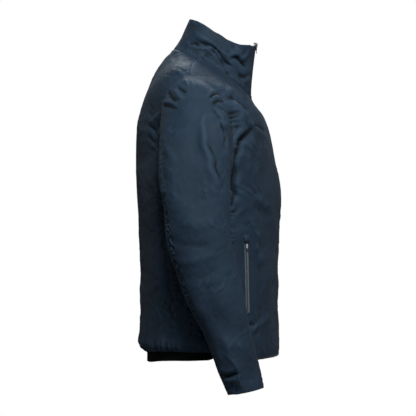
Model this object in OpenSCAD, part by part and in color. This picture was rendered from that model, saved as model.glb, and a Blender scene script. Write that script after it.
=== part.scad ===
// Foul weather jacket: zipped front, funnel collar, two zipped hand pockets, bloused hem.
// The wearer faces -Y, their right is -X, +Z is up. The origin is the middle of the neck,
// level with the side neck points where the jacket hangs on the shoulders.

/* [Cloth] */
// Thickness of the outer shell cloth
shell_t = 1.6; // [1.2:0.1:2]
// Thickness of the inner lining
lining_t = 0.8; // [0.6:0.1:1]
// Depth of the body lining below the outer face
lining_depth = 11; // [10.5:0.5:13]

/* [Main zip] */
// Half width of the gap between the two front edges
front_gap = 7; // [6.5:0.5:8]
// Half width of the closed zip teeth
chain_half = 2.9; // [2.7:0.1:3]

/* [Pockets] */
// Height of the top of the pocket zip below the neck
pocket_top_z = -400; // [-410:5:-390]
// Length of the pocket zip
pocket_len = 158; // [150:2:160]
// Angle of the pocket round the body, from the front centre
pocket_angle = 61; // [58:1:62]
// Slant of the pocket zip, as an angle round the body
pocket_slant = -2; // [-4:1:0]

/* [Sleeves] */
// How much larger the armhole is than the sleeve head that it holds
armhole_ease = 1.03; // [1.02:0.005:1.04]
// Share of a sleeve section between the stiff sleeve and the soft elbow
elbow_gap = 0.01; // [0.008:0.001:0.02]

/* [Hem] */
// How far the elastic band hangs below the shell at the back
band_drop = 18; // [12:1:20]
// Thickness of the elastic band
band_t = 2; // [1.5:0.5:2.5]

/* [Hidden] */

navy = [0.16, 0.2, 0.27];
black = [0.05, 0.05, 0.06];
grey = [0.3, 0.31, 0.3];

// Body sections from the hem up to the collar's top edge. Each row is one seam-like loop:
// front y and z, back y and z, side half width, side y and z, how the front falls away from the
// side, and how much the zip props up the front of the loop.
body = [
    [-157, -661, 139, -660, 202, 4, -661, 1.8, 0],
    [-157, -640, 151, -640, 208, 4, -640, 1.8, 0],
    [-157, -585, 152, -585, 211, 4, -585, 1.8, 0],
    [-155, -490, 151, -490, 214, 4, -490, 1.8, 0],
    [-158, -390, 154, -390, 218, 4, -390, 1.8, 0],
    [-161, -300, 160, -300, 223, 5, -300, 1.8, 0],
    [-151, -230, 162, -225, 227, 6, -225, 1.8, 0],
    [-138, -168, 160, -160, 228, 10, -155, 1.8, 0],
    [-124, -130, 153, -122, 225, 20, -100, 1.6, 0],
    [-112, -113, 138, -76, 209, 36, -56, 1.3, 0],
    [-102, -99, 112, -24, 158, 33, -26, 1.2, 0],
    [-97, -86, 78, 20, 86, 12, 2, 1, 4],
    [-100, -44, 62, 44, 79, 3, 17, 1, 7],
    [-104, -18, 52, 66, 72, -8, 38, 1, 14],
    [-109, 11, 42, 88, 67, -22, 58, 1, 20]
];
neck_row = 11;
top_row = 14;
body_round = 2.3;
back_round = 1.8;
zip_prop_round = 12;
front_seam = 74;
back_seam = 115;
shoulder_seam = 91;

// Right sleeve sections from the armhole down to the cuff. Each row is four points:
// outer, front, inner and back, with x measured out from the middle of the body.
sleeve = [
    [[202, 34, -52], [214, -54, -190], [228, 8, -296], [192, 98, -168]],
    [[240, 28, -76], [238, -54, -200], [232, 12, -305], [220, 103, -186]],
    [[272, 20, -117], [258, -53, -220], [235, 18, -316], [250, 105, -220]],
    [[300, 14, -173], [275, -50, -253], [236, 22, -331], [272, 103, -262]],
    [[319, 16, -240], [284, -46, -295], [237, 24, -352], [283, 97, -304]],
    [[330, 18, -314], [288, -46, -351], [238, 24, -388], [287, 90, -363]],
    [[335, 14, -396], [290, -53, -412], [241, 14, -444], [289, 80, -432]],
    [[337, -8, -480], [292, -67, -488], [246, -10, -518], [291, 50, -520]],
    [[336, -34, -560], [294, -84, -564], [252, -38, -590], [293, 15, -588]],
    [[334, -58, -640], [295, -101, -636], [258, -62, -660], [295, -16, -664]],
    [[332, -78, -716], [297, -117, -708], [264, -80, -720], [297, -42, -724]]
];
elbow_top = 5;
elbow_foot = 7;
cuff_row = 10;
sleeve_round = 2.2;
sleeve_front_seam = 100;
sleeve_back_seam = -75;

function clamp_row(rows, k) = rows[max(0, min(len(rows) - 1, k))];

// A smooth curve through the rows of a table, at row number t.
function between(rows, t) =
    let (
        k = min(len(rows) - 2, floor(t)),
        u = t - k,
        p = clamp_row(rows, k - 1),
        q = rows[k],
        r = rows[k + 1],
        s = clamp_row(rows, k + 2)
    )
    q + u * ((r - p) / 2 + u * ((2 * p - 5 * q + 4 * r - s) / 2 + u * (3 * q - p - 3 * r + s) / 2));

function signed_power(v, e) = sign(v) * pow(abs(v), e);

// A point of the body's outer face: a is the angle from the front centre towards the right side.
function body_point(a, t) =
    let (
        row = between(body, t),
        c = signed_power(cos(a), 2 / body_round),
        s = signed_power(sin(a), 2 / body_round),
        end = c > 0 ? [row[0], row[1], row[7]] : [row[2], row[3], back_round],
        share = abs(c),
        prop = row[8] * pow(max(0, cos(a)), zip_prop_round)
    )
    [
        -row[4] * s,
        row[5] + share * (end[0] - row[5]),
        row[6] + pow(share, end[2]) * (end[1] - row[6]) + prop
    ];

// A point of the right sleeve's outer face: b is the angle from the outer line towards the front.
function sleeve_point(b, s) =
    let (
        rows = [for (side = [0:3]) [for (row = sleeve) row[side]]],
        outer = between(rows[0], s),
        front = between(rows[1], s),
        inner = between(rows[2], s),
        back = between(rows[3], s),
        c = signed_power(cos(b), 2 / sleeve_round),
        d = signed_power(sin(b), 2 / sleeve_round),
        p = (outer + front + inner + back) / 4 + c * (outer - inner) / 2
            + d * (front - back) / 2 + cos(2 * b) * (outer + inner - front - back) / 4
    )
    [-p[0], p[1], p[2]];

function unit(v) = v / norm(v);

// The outward normals, from small steps along the surface.
step = 0.02;
function body_normal(a, t) =
    let (
        lo = max(0, t - step),
        hi = min(top_row, t + step),
        along = body_point(a, hi) - body_point(a, lo),
        across = body_point(a + 1, t) - body_point(a - 1, t)
    )
    unit(cross(along, across));
function sleeve_normal(b, s) =
    let (
        lo = max(0, s - step),
        hi = min(cuff_row, s + step),
        along = sleeve_point(b, hi) - sleeve_point(b, lo),
        across = sleeve_point(b + 1, s) - sleeve_point(b - 1, s)
    )
    unit(cross(along, across));

function body_in(a, t, depth) = body_point(a, t) - depth * body_normal(a, t);
function sleeve_in(b, s, depth) = sleeve_point(b, s) - depth * sleeve_normal(b, s);

// The angle at which the body's loop is a given distance out from the middle.
function angle_at(x, t) = asin(pow(x / between(body, t)[4], body_round / 2));

function steps(from, to, count) = [for (k = [0:count]) from + (to - from) * k / count];

// A panel's side edge runs up a side seam, and above the armhole it follows the shoulder seam.
function panel_edge(seam, t) = seam + (shoulder_seam - seam) * max(0, min(1, t - 6.5));

// A closed cloth between two grids of points, outer[i][j] and inner[i][j].
module skin(outer, inner, loop = false) {
    n = len(outer);
    m = len(outer[0]);
    last = m - 1;
    o = function(i, j) (i % n) * m + j;
    q = function(i, j) n * m + (i % n) * m + j;
    span = [0:(loop ? n - 1 : n - 2)];
    faces = [
        for (i = span, j = [0:m - 2]) each [
            [o(i, j), o(i + 1, j), o(i + 1, j + 1)], [o(i, j), o(i + 1, j + 1), o(i, j + 1)],
            [q(i, j), q(i + 1, j + 1), q(i + 1, j)], [q(i, j), q(i, j + 1), q(i + 1, j + 1)]
        ],
        for (i = span) each [
            [o(i + 1, 0), o(i, 0), q(i, 0)], [o(i + 1, 0), q(i, 0), q(i + 1, 0)],
            [o(i, last), o(i + 1, last), q(i + 1, last)], [o(i, last), q(i + 1, last), q(i, last)]
        ],
        if (!loop) for (j = [0:m - 2]) each [
            [o(0, j), o(0, j + 1), q(0, j + 1)], [o(0, j), q(0, j + 1), q(0, j)],
            [o(n - 1, j + 1), o(n - 1, j), q(n - 1, j)], [o(n - 1, j + 1), q(n - 1, j), q(n - 1, j + 1)]
        ]
    ];
    polyhedron(points = concat([for (row = outer) each row], [for (row = inner) each row]), faces = faces);
}

// Cloth on the body between two angles and two rows, from one depth to another.
module body_cloth(from, to, count, low, high, rows, depth, thick) {
    angles = steps(from, to, count);
    levels = steps(low, high, rows);
    skin(
        [for (a = angles) [for (t = levels) body_in(a, t, depth)]],
        [for (a = angles) [for (t = levels) body_in(a, t, depth + thick)]]
    );
}

// Cloth whose front edge keeps a fixed distance from the zip, up to a side seam.
module front_cloth(edge, seam, count, low, high, rows, depth, thick) {
    levels = steps(low, high, rows);
    grid = function(d) [
        for (k = [0:count]) [
            for (t = levels)
                let (first = angle_at(edge, t), last = panel_edge(seam, t))
                body_in(first + (last - first) * k / count, t, d)
        ]
    ];
    skin(grid(depth), grid(depth + thick));
}

// Cloth round the back, between the two side seams.
module back_cloth(seam, count, low, high, rows, depth, thick) {
    levels = steps(low, high, rows);
    grid = function(d) [
        for (k = [0:count]) [
            for (t = levels)
                let (first = panel_edge(seam, t))
                body_in(first + (360 - 2 * first) * k / count, t, d)
        ]
    ];
    skin(grid(depth), grid(depth + thick));
}

// A strip that follows the front centre, between two distances from the middle.
module zip_strip(x0, x1, low, high, rows, depth, thick) {
    levels = steps(low, high, rows);
    edge = function(x, t, d) let (p = body_in(0, t, d)) [-x, p[1], p[2]];
    skin(
        [for (x = [x0, x1]) [for (t = levels) edge(x, t, depth)]],
        [for (x = [x0, x1]) [for (t = levels) edge(x, t, depth + thick)]]
    );
}

module sleeve_cloth(from, to, count, low, high, rows, depth, thick) {
    levels = steps(low, high, rows);
    loop = to - from == 360;
    angles = [for (k = [0:loop ? count - 1 : count]) from + (to - from) * k / count];
    skin(
        [for (b = angles) [for (s = levels) sleeve_in(b, s, depth)]],
        [for (b = angles) [for (s = levels) sleeve_in(b, s, depth + thick)]],
        loop
    );
}

// The armhole's outline from the side, as a bar through the right shoulder.
module armhole_cutter() {
    first = sleeve[0];
    middle = (first[0] + first[1] + first[2] + first[3]) / 4;
    outline = [
        for (b = steps(0, 350, 35)) let (p = sleeve_point(b, 0))
        [middle[1] + armhole_ease * (p[1] - middle[1]), middle[2] + armhole_ease * (p[2] - middle[2])]
    ];
    translate([-250, 0, 0]) rotate([90, 0, 90]) linear_extrude(120) polygon(outline);
}

module left() {
    mirror([1, 0, 0]) children();
}

// Body panels

module right_front_panel() {
    color(navy) difference() {
        front_cloth(front_gap, front_seam, 13, 0, neck_row, 18, 0, shell_t);
        armhole_cutter();
        pocket_place() translate([-pocket_slot_w / 2, -8, -pocket_slot_len / 2])
            cube([pocket_slot_w, 16, pocket_slot_len]);
    }
}

module right_side_panel() {
    color(navy) difference() {
        body_cloth(front_seam, back_seam, 8, 0, 6.1, 10, 0, shell_t);
        armhole_cutter();
    }
}

module back_panel() {
    color(navy) difference() {
        back_cloth(back_seam, 22, 0, neck_row, 18, 0, shell_t);
        armhole_cutter();
        left() armhole_cutter();
    }
}

module right_front_lining() {
    color(black) difference() {
        front_cloth(14, shoulder_seam, 9, 0.5, neck_row - 0.4, 12, lining_depth, lining_t);
        armhole_cutter();
    }
}

module back_lining() {
    color(black) difference() {
        back_cloth(shoulder_seam, 18, 0.5, neck_row - 0.4, 12, lining_depth, lining_t);
        armhole_cutter();
        left() armhole_cutter();
    }
}

// Collar

module collar_outer() {
    edge = angle_at(front_gap, 12.5);
    color(navy) body_cloth(edge, 360 - edge, 40, neck_row + 0.05, top_row, 7, 0, shell_t);
}

module collar_lining() {
    edge = angle_at(14, 12.5);
    color(black) body_cloth(edge, 360 - edge, 40, neck_row + 0.05, top_row, 7, shell_t + 1.6, 2);
}

module loop_outline(r) {
    hull() for (side = [-1, 1]) translate([side * 18, 0]) circle(r = r, $fn = 48);
}
module hanger_loop() {
    place = body_in(180, neck_row + 0.2, 13);
    color(black) translate(place) rotate([115, 0, 0]) linear_extrude(1.4, center = true) difference() {
        loop_outline(10);
        loop_outline(6.5);
    }
}

// Main zip

chain_top = 13.9;
zip_depth = 3.5;
module right_zip_tape() {
    color(black) zip_strip(chain_half + 0.3, 12.5, 0.02, top_row - 0.05, 30, zip_depth - 0.35, 0.7);
}
module right_zip_chain() {
    color(black) zip_strip(0.1, chain_half, 0.5, chain_top, 30, zip_depth - 1.3, 2.6);
}
module wind_flap() {
    color(black) zip_strip(-12.5, 12.5, 0.1, top_row - 0.1, 28, zip_depth + 5, 1.2);
}

// Puts children in a frame with +Z along the zip and +Y out of the cloth.
module in_frame(origin, up, out) {
    ez = unit(up);
    ey = unit(out - (out * ez) * ez);
    ex = cross(ey, ez);
    multmatrix([
        [ex[0], ey[0], ez[0], origin[0]],
        [ex[1], ey[1], ez[1], origin[1]],
        [ex[2], ey[2], ez[2], origin[2]],
        [0, 0, 0, 1]
    ]) children();
}

collar_up = body_point(0, top_row) - body_point(0, top_row - 2);
module main_zip_place() {
    top = body_point(0, chain_top);
    out = [0, -collar_up[2], collar_up[1]];
    in_frame(top - zip_depth * unit(out), collar_up, out) children();
}
module hem_zip_place() {
    in_frame(body_in(0, 0, zip_depth), [0, 0, 1], [0, -1, 0]) children();
}

module zip_retainer_box() {
    color(black) hem_zip_place() translate([0.2, -1.9, -1]) cube([2.8, 3.8, 5]);
}
module zip_insertion_pin() {
    color(black) hem_zip_place() translate([-2.6, -1.5, -1]) cube([2.4, 3, 4.5]);
}

// A slider body: two plates joined by a wedge, with a bridge that holds the puller.
plate_gap = 1.75;
plate_t = 1.1;
bridge_low = -9.5;
bridge_high = -1.5;
pivot_up = plate_gap + plate_t + 1.3;
pivot_z = -7;
module slider_plate(wide, narrow, long) {
    rotate([90, 0, 0]) linear_extrude(plate_t, center = true) polygon([
        [-narrow / 2, -long], [narrow / 2, -long], [wide / 2, -3], [wide / 2 - 1.5, 0],
        [1.5 - wide / 2, 0], [-wide / 2, -3]
    ]);
}
module slider_body(wide, narrow, long, raise) {
    middle = plate_gap + plate_t / 2;
    shift = [0, 0, raise];
    translate(shift) {
        translate([0, middle, 0]) slider_plate(wide, narrow, long);
        translate([0, -middle, 0]) slider_plate(wide, narrow, long);
        translate([-1, -plate_gap - 0.2, -3]) cube([2, 2 * plate_gap + 0.4, 2.4]);
        for (z = [bridge_low, bridge_high - 1.2])
            translate([-0.9, plate_gap + plate_t - 0.2, z]) cube([1.8, 3.2, 1.2]);
        translate([-0.9, plate_gap + plate_t + 2.4, bridge_low]) cube([1.8, 1, bridge_high - bridge_low]);
    }
}

// A puller that hangs from the bridge: a crossbar, two ears and a tongue with a cord eye.
module puller_body(wide, long, raise, hang) {
    translate([0, pivot_up, pivot_z + raise]) rotate([hang, 0, 0]) {
        rotate([0, 90, 0]) cylinder(r = 0.8, h = wide, center = true, $fn = 32);
        for (side = [-1, 1]) translate([side * (wide / 2 - 0.8) - 0.8, -0.7, -6]) cube([1.6, 1.4, 6.2]);
        difference() {
            translate([-wide / 2, -0.7, -long]) cube([wide, 1.4, long - 5]);
            translate([0, 0, 2.6 - long]) rotate([90, 0, 0])
                cylinder(r = 1.1, h = 4, center = true, $fn = 32);
        }
    }
}

slider_raise = 7.5;
collar_lean = atan(collar_up[1] / collar_up[2]);
module main_slider() {
    color(black) main_zip_place() slider_body(11, 9, 13, slider_raise);
}
module main_puller() {
    color(black) main_zip_place() puller_body(6.4, 17, slider_raise, -collar_lean);
}
module zip_top_stops() {
    color(black) main_zip_place() for (side = [-1, 1])
        translate([side * 2.1 - 0.8, -1.3, 0.4]) cube([1.6, 2.6, 2.2]);
}

// The hood of cloth over the top of a zip.
module hood(width, height, wall, low, high, base) {
    difference() {
        translate([-width / 2, base, low]) cube([width, height - base, high - low]);
        translate([wall - width / 2, base - 1, low - 1])
            cube([width - 2 * wall, height - base + 1 - wall, high - low + 1 - wall]);
    }
}

// Hem

module hem_band() {
    angles = steps(front_seam + 4, 356 - front_seam, 34);
    fall = function(a) band_drop * pow(max(0, -cos(a) + 0.25) / 1.25, 0.5);
    strip = function(a, d) let (foot = body_in(a, 0, 3.4 + d))
        [body_in(a, 1, 4 + d), body_in(a, 0.4, 3.8 + d), foot, foot - [0, 0, 1 + fall(a)]];
    color(black) skin([for (a = angles) strip(a, 0)], [for (a = angles) strip(a, band_t)]);
}
module right_hem_facing() {
    color(navy) front_cloth(14, front_seam - 1, 10, 0.04, 1.4, 3, shell_t + 1.2, 0.8);
}
module right_hem_binding() {
    angles = steps(2, front_seam - 1, 12);
    foot = function(a, d, z) let (p = body_in(a, 0, d)) [min(p[0], -front_gap), p[1], p[2] - z];
    color(black) skin(
        [for (a = angles) [for (z = [3, 0.15]) foot(a, -0.1, z)]],
        [for (a = angles) [for (z = [3, 0.15]) foot(a, shell_t + 0.8, z)]]
    );
}

// Hand pockets

pocket_depth = 2.35;
pocket_slot_w = 21;
pocket_slot_len = pocket_len + 14;
function row_at(z) = lookup(z, [for (t = [0:0.25:8]) [between(body, t)[6], t]]);
pocket_low = body_point(pocket_angle + pocket_slant, row_at(pocket_top_z - pocket_len));
pocket_high = body_point(pocket_angle, row_at(pocket_top_z));
pocket_out = body_normal(pocket_angle, row_at(pocket_top_z - pocket_len / 2));
module pocket_place() {
    in_frame((pocket_low + pocket_high) / 2, pocket_high - pocket_low, pocket_out) children();
}
module pocket_top() {
    pocket_place() translate([0, -pocket_depth - 0.5, pocket_len / 2]) children();
}
pocket_window = 10;

module right_pocket_welt() {
    w = pocket_slot_w - 0.6;
    h = pocket_slot_len - 0.6;
    color(navy) pocket_place() difference() {
        translate([-w / 2, -1.6, -h / 2]) cube([w, 1.4, h]);
        translate([-pocket_window / 2, -3, -pocket_len / 2 - 1]) cube([pocket_window, 5, pocket_len + 2]);
    }
}
module right_pocket_tape() {
    color(grey) pocket_place() for (side = [-1, 1])
        translate([side * 6.2 - 3.8, -pocket_depth - 0.9, -pocket_len / 2 - 3])
            cube([7.6, 0.7, pocket_len + 6]);
}
module right_pocket_chain() {
    color(grey) pocket_place() translate([-2, -pocket_depth - 1.8, -pocket_len / 2])
        cube([4, 2.5, pocket_len - 5]);
}
module right_pocket_stops() {
    color(grey) pocket_place() {
        translate([-2.3, -pocket_depth - 1.9, -pocket_len / 2 - 2.4]) cube([4.6, 2.4, 2.2]);
        for (side = [-1, 1]) translate([side * 1.7 - 0.6, -pocket_depth - 1.5, pocket_len / 2 + 0.2])
            cube([1.2, 2, 2]);
    }
}
module right_pocket_garage() {
    color(navy) pocket_top() hood(15, 8.4, 0.8, -5.2, 8.5, pocket_depth + 0.6);
}
module right_pocket_bag() {
    low = row_at(pocket_top_z - pocket_len - 45);
    high = row_at(pocket_top_z + 20);
    color(black) difference() {
        body_cloth(16, pocket_angle - 5, 8, low, high, 6, 6.4, 3.2);
        body_cloth(18, pocket_angle, 8, low + 0.06, high - 0.06, 6, 7.1, 1.8);
    }
}
module right_pocket_slider() {
    color(black) pocket_top() slider_body(8, 6.6, 11.5, 0);
}
module right_pocket_puller() {
    color(grey) pocket_top() puller_body(6, 17, 0, 0);
}

// Sleeves

sleeve_lining_depth = 5;
module right_upper_sleeve_outer() {
    color(navy) sleeve_cloth(sleeve_back_seam, sleeve_front_seam, 12, 0, elbow_top, 10, 0, shell_t);
}
module right_upper_sleeve_under() {
    color(navy) sleeve_cloth(sleeve_front_seam, 360 + sleeve_back_seam, 12, 0, elbow_top, 10, 0, shell_t);
}
module right_upper_sleeve_lining() {
    color(black) sleeve_cloth(0, 360, 20, 0.3, elbow_top, 8, sleeve_lining_depth, lining_t);
}
module right_elbow_section() {
    low = elbow_top + elbow_gap;
    high = elbow_foot - elbow_gap;
    color(navy) sleeve_cloth(0, 360, 24, low, high, 5, 0, shell_t);
    color(black) sleeve_cloth(0, 360, 20, low, high, 4, sleeve_lining_depth, lining_t);
}
module right_lower_sleeve_outer() {
    color(navy) sleeve_cloth(sleeve_back_seam, sleeve_front_seam, 12, elbow_foot, cuff_row, 6, 0, shell_t);
}
module right_lower_sleeve_under() {
    under = 360 + sleeve_back_seam;
    color(navy) sleeve_cloth(sleeve_front_seam, under, 12, elbow_foot, cuff_row, 6, 0, shell_t);
}
module right_lower_sleeve_lining() {
    color(black) sleeve_cloth(0, 360, 20, elbow_foot, 9.3, 5, sleeve_lining_depth, lining_t);
}
module right_cuff_facing() {
    color(navy) sleeve_cloth(0, 360, 20, 9.62, cuff_row, 2, shell_t + 0.3, 0.8);
}
module right_inner_cuff() {
    levels = [9.4, 9.6, 9.85];
    pinch = [0, 3, 5];
    grid = function(extra) [
        for (k = [0:19]) [for (j = [0:2]) sleeve_in(18 * k, levels[j], 4.4 + pinch[j] + extra)]
    ];
    color(black) skin(grid(0), grid(1.6), true);
}

back_panel();
right_front_panel();
left() right_front_panel();  // left_front_panel
right_side_panel();
left() right_side_panel();  // left_side_panel
collar_outer();
collar_lining();
right_zip_tape();
left() right_zip_tape();  // left_zip_tape
right_zip_chain();
left() right_zip_chain();  // left_zip_chain
zip_retainer_box();
zip_insertion_pin();
zip_top_stops();
wind_flap();
hem_band();
right_hem_facing();
left() right_hem_facing();  // left_hem_facing
right_hem_binding();
left() right_hem_binding();  // left_hem_binding
hanger_loop();
back_lining();
right_front_lining();
left() right_front_lining();  // left_front_lining
right_pocket_welt();
left() right_pocket_welt();  // left_pocket_welt
right_pocket_tape();
left() right_pocket_tape();  // left_pocket_tape
right_pocket_chain();
left() right_pocket_chain();  // left_pocket_chain
right_pocket_stops();
left() right_pocket_stops();  // left_pocket_stops
right_pocket_garage();
left() right_pocket_garage();  // left_pocket_garage
right_pocket_bag();
left() right_pocket_bag();  // left_pocket_bag
right_upper_sleeve_outer();
left() right_upper_sleeve_outer();  // left_upper_sleeve_outer
right_upper_sleeve_under();
left() right_upper_sleeve_under();  // left_upper_sleeve_under
right_upper_sleeve_lining();
left() right_upper_sleeve_lining();  // left_upper_sleeve_lining
right_elbow_section();
left() right_elbow_section();  // left_elbow_section
right_lower_sleeve_outer();
left() right_lower_sleeve_outer();  // left_lower_sleeve_outer
right_lower_sleeve_under();
left() right_lower_sleeve_under();  // left_lower_sleeve_under
right_lower_sleeve_lining();
left() right_lower_sleeve_lining();  // left_lower_sleeve_lining
right_cuff_facing();
left() right_cuff_facing();  // left_cuff_facing
right_inner_cuff();
left() right_inner_cuff();  // left_inner_cuff
main_slider();
main_puller();
right_pocket_slider();
left() right_pocket_slider();  // left_pocket_slider
right_pocket_puller();
left() right_pocket_puller();  // left_pocket_puller
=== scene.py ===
"""A foul weather jacket, shaped as worn: its cloth, zips, elastics and studio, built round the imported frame.

The wearer faces -Y and their right is -X. Every length is in metres unless its name ends in _mm.
"""

import logging
import math
from collections.abc import Sequence
from dataclasses import dataclass, field
from enum import Enum

import bpy
import numpy as np
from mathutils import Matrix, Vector
from mathutils.bvhtree import BVHTree


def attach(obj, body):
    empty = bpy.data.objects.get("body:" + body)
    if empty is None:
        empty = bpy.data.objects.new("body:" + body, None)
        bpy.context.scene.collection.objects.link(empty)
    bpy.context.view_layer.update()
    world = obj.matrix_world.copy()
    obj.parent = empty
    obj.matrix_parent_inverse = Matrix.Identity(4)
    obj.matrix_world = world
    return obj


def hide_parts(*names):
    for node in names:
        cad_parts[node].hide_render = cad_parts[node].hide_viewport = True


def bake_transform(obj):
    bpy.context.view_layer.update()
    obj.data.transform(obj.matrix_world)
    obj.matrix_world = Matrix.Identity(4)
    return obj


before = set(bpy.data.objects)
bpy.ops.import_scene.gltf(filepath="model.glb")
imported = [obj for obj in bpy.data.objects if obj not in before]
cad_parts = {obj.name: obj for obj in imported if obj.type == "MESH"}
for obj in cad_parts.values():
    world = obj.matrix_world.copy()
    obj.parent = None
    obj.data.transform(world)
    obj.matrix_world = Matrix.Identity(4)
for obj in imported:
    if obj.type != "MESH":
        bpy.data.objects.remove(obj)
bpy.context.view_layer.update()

log = logging.getLogger("jacket")

MM = 0.001
# Rows of the torso's and the sleeve's loops.
ARMPIT_ROW = 6.5
NECK_ROW = 11.0
TOP_ROW = 14.0
CUFF_ROW = 10.0
# Seams, in degrees round the torso and the sleeve.
FRONT_SEAM = 74.0
BACK_SEAM = 115.0
SHOULDER_SEAM = 91.0
SLEEVE_FRONT_SEAM = 100.0
SLEEVE_BACK_SEAM = -75.0
HEM_Z = -0.661
FRONT_GAP = 7 * MM
SHELL_T = 0.8 * MM
LINING_T = 0.5 * MM
CLOTH_PITCH = 2.7 * MM
BODY_ROUND = 2.3
SLEEVE_ROUND = 2.2
# The cloth attribute of how hollow each point lies; cloth materials paint shade in hollows and a highlight on ridges
# from it.
HOLLOW = "hollow"
SPECULAR_TINT = (0.82, 0.94, 1.0, 1)

# Front y and z, back y and z, side half width, side y and z, front fall, zip prop, from the hem up.
BODY_ROWS = np.array([
    [-157, -661, 139, -660, 202, 4, -661, 1.8, 0],
    [-157, -640, 151, -640, 208, 4, -640, 1.8, 0],
    [-157, -585, 152, -585, 211, 4, -585, 1.8, 0],
    [-155, -490, 151, -490, 214, 4, -490, 1.8, 0],
    [-158, -390, 154, -390, 218, 4, -390, 1.8, 0],
    [-161, -300, 160, -300, 223, 5, -300, 1.8, 0],
    [-151, -230, 162, -225, 227, 6, -225, 1.8, 0],
    [-138, -168, 160, -160, 228, 10, -155, 1.8, 0],
    [-124, -130, 153, -122, 225, 20, -100, 1.6, 0],
    [-112, -113, 138, -76, 209, 36, -56, 1.3, 0],
    [-102, -99, 112, -24, 158, 33, -26, 1.2, 0],
    [-97, -86, 78, 20, 86, 12, 2, 1, 4],
    [-100, -44, 62, 44, 79, 3, 17, 1, 7],
    [-104, -18, 52, 66, 72, -8, 38, 1, 14],
    [-109, 11, 42, 88, 67, -22, 58, 1, 20],
], float) * np.array([MM] * 7 + [1, MM])

# Outer, front, inner and back points of the sleeve, from the armhole down to the cuff.
SLEEVE_ROWS = np.array([
    [[202, 34, -52], [214, -54, -190], [228, 8, -296], [192, 98, -168]],
    [[240, 28, -76], [238, -54, -200], [232, 12, -305], [220, 103, -186]],
    [[272, 20, -117], [258, -53, -220], [235, 18, -316], [250, 105, -220]],
    [[300, 14, -173], [275, -50, -253], [236, 22, -331], [272, 103, -262]],
    [[319, 16, -240], [284, -46, -295], [237, 24, -352], [283, 97, -304]],
    [[330, 18, -314], [288, -46, -351], [238, 24, -388], [287, 90, -363]],
    [[335, 14, -396], [290, -53, -412], [241, 14, -444], [289, 80, -432]],
    [[337, -8, -480], [292, -67, -488], [246, -10, -518], [291, 50, -520]],
    [[336, -34, -560], [294, -84, -564], [252, -38, -590], [293, 15, -588]],
    [[334, -58, -640], [295, -101, -636], [258, -62, -660], [295, -16, -664]],
    [[332, -78, -716], [297, -117, -708], [264, -80, -720], [297, -42, -724]],
], float) * MM

TO_RIGHT = np.array([-1.0, 1.0, 1.0])
X_WAY = np.array([1.0, 0.0, 0.0])
OUT_WAY = np.array([0.0, 1.0, 0.0])

Array = np.ndarray
Line = tuple[tuple[float, float], ...]
Piece = bpy.types.Object


class Side(Enum):
    """The wearer's right or left."""

    RIGHT = "right"
    LEFT = "left"


class Edge(Enum):
    """One of the four edges of a cloth grid."""

    START = 0
    END = 1
    FOOT = 2
    HEAD = 3


def unit(v: Array) -> Array:
    """Vectors scaled to length one."""
    return v / np.maximum(np.linalg.norm(v, axis=-1, keepdims=True), 1e-12)


def lengths(line: Array) -> Array:
    """The length along a line at each of its points."""
    return np.concatenate([[0], np.cumsum(np.linalg.norm(np.diff(line, axis=0), axis=1))])


def read_at(far: Array, values: Array, places: Array) -> Array:
    """Values along a line, read at other places; far holds the length at each value."""
    return np.stack([np.interp(places, far, values[:, k]) for k in range(3)], 1)


def smooth(v: Array, low: float, high: float) -> Array:
    """A smooth step from 0 at low to 1 at high."""
    u = np.clip((v - low) / (high - low), 0, 1)
    return u * u * (3 - 2 * u)


def signed_power(v: Array, e: float) -> Array:
    """A power that keeps its sign."""
    return np.sign(v) * np.abs(v) ** e


def between(rows: Array, t: Array) -> Array:
    """A smooth curve through the rows of a table.

    Args:
        rows: The table, one row for each whole number.
        t: Row numbers, whole or not.

    Returns:
        The interpolated rows.
    """
    t = np.clip(t, 0, len(rows) - 1)
    k = np.clip(np.floor(t).astype(int), 0, len(rows) - 2)
    u = (t - k).reshape(t.shape + (1,) * (rows.ndim - 1))
    p, q = rows[np.maximum(k - 1, 0)], rows[k]
    r, s = rows[k + 1], rows[np.minimum(k + 2, len(rows) - 1)]
    return q + u * ((r - p) / 2 + u * ((2 * p - 5 * q + 4 * r - s) / 2 + u * (3 * q - p - 3 * r + s) / 2))


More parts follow.
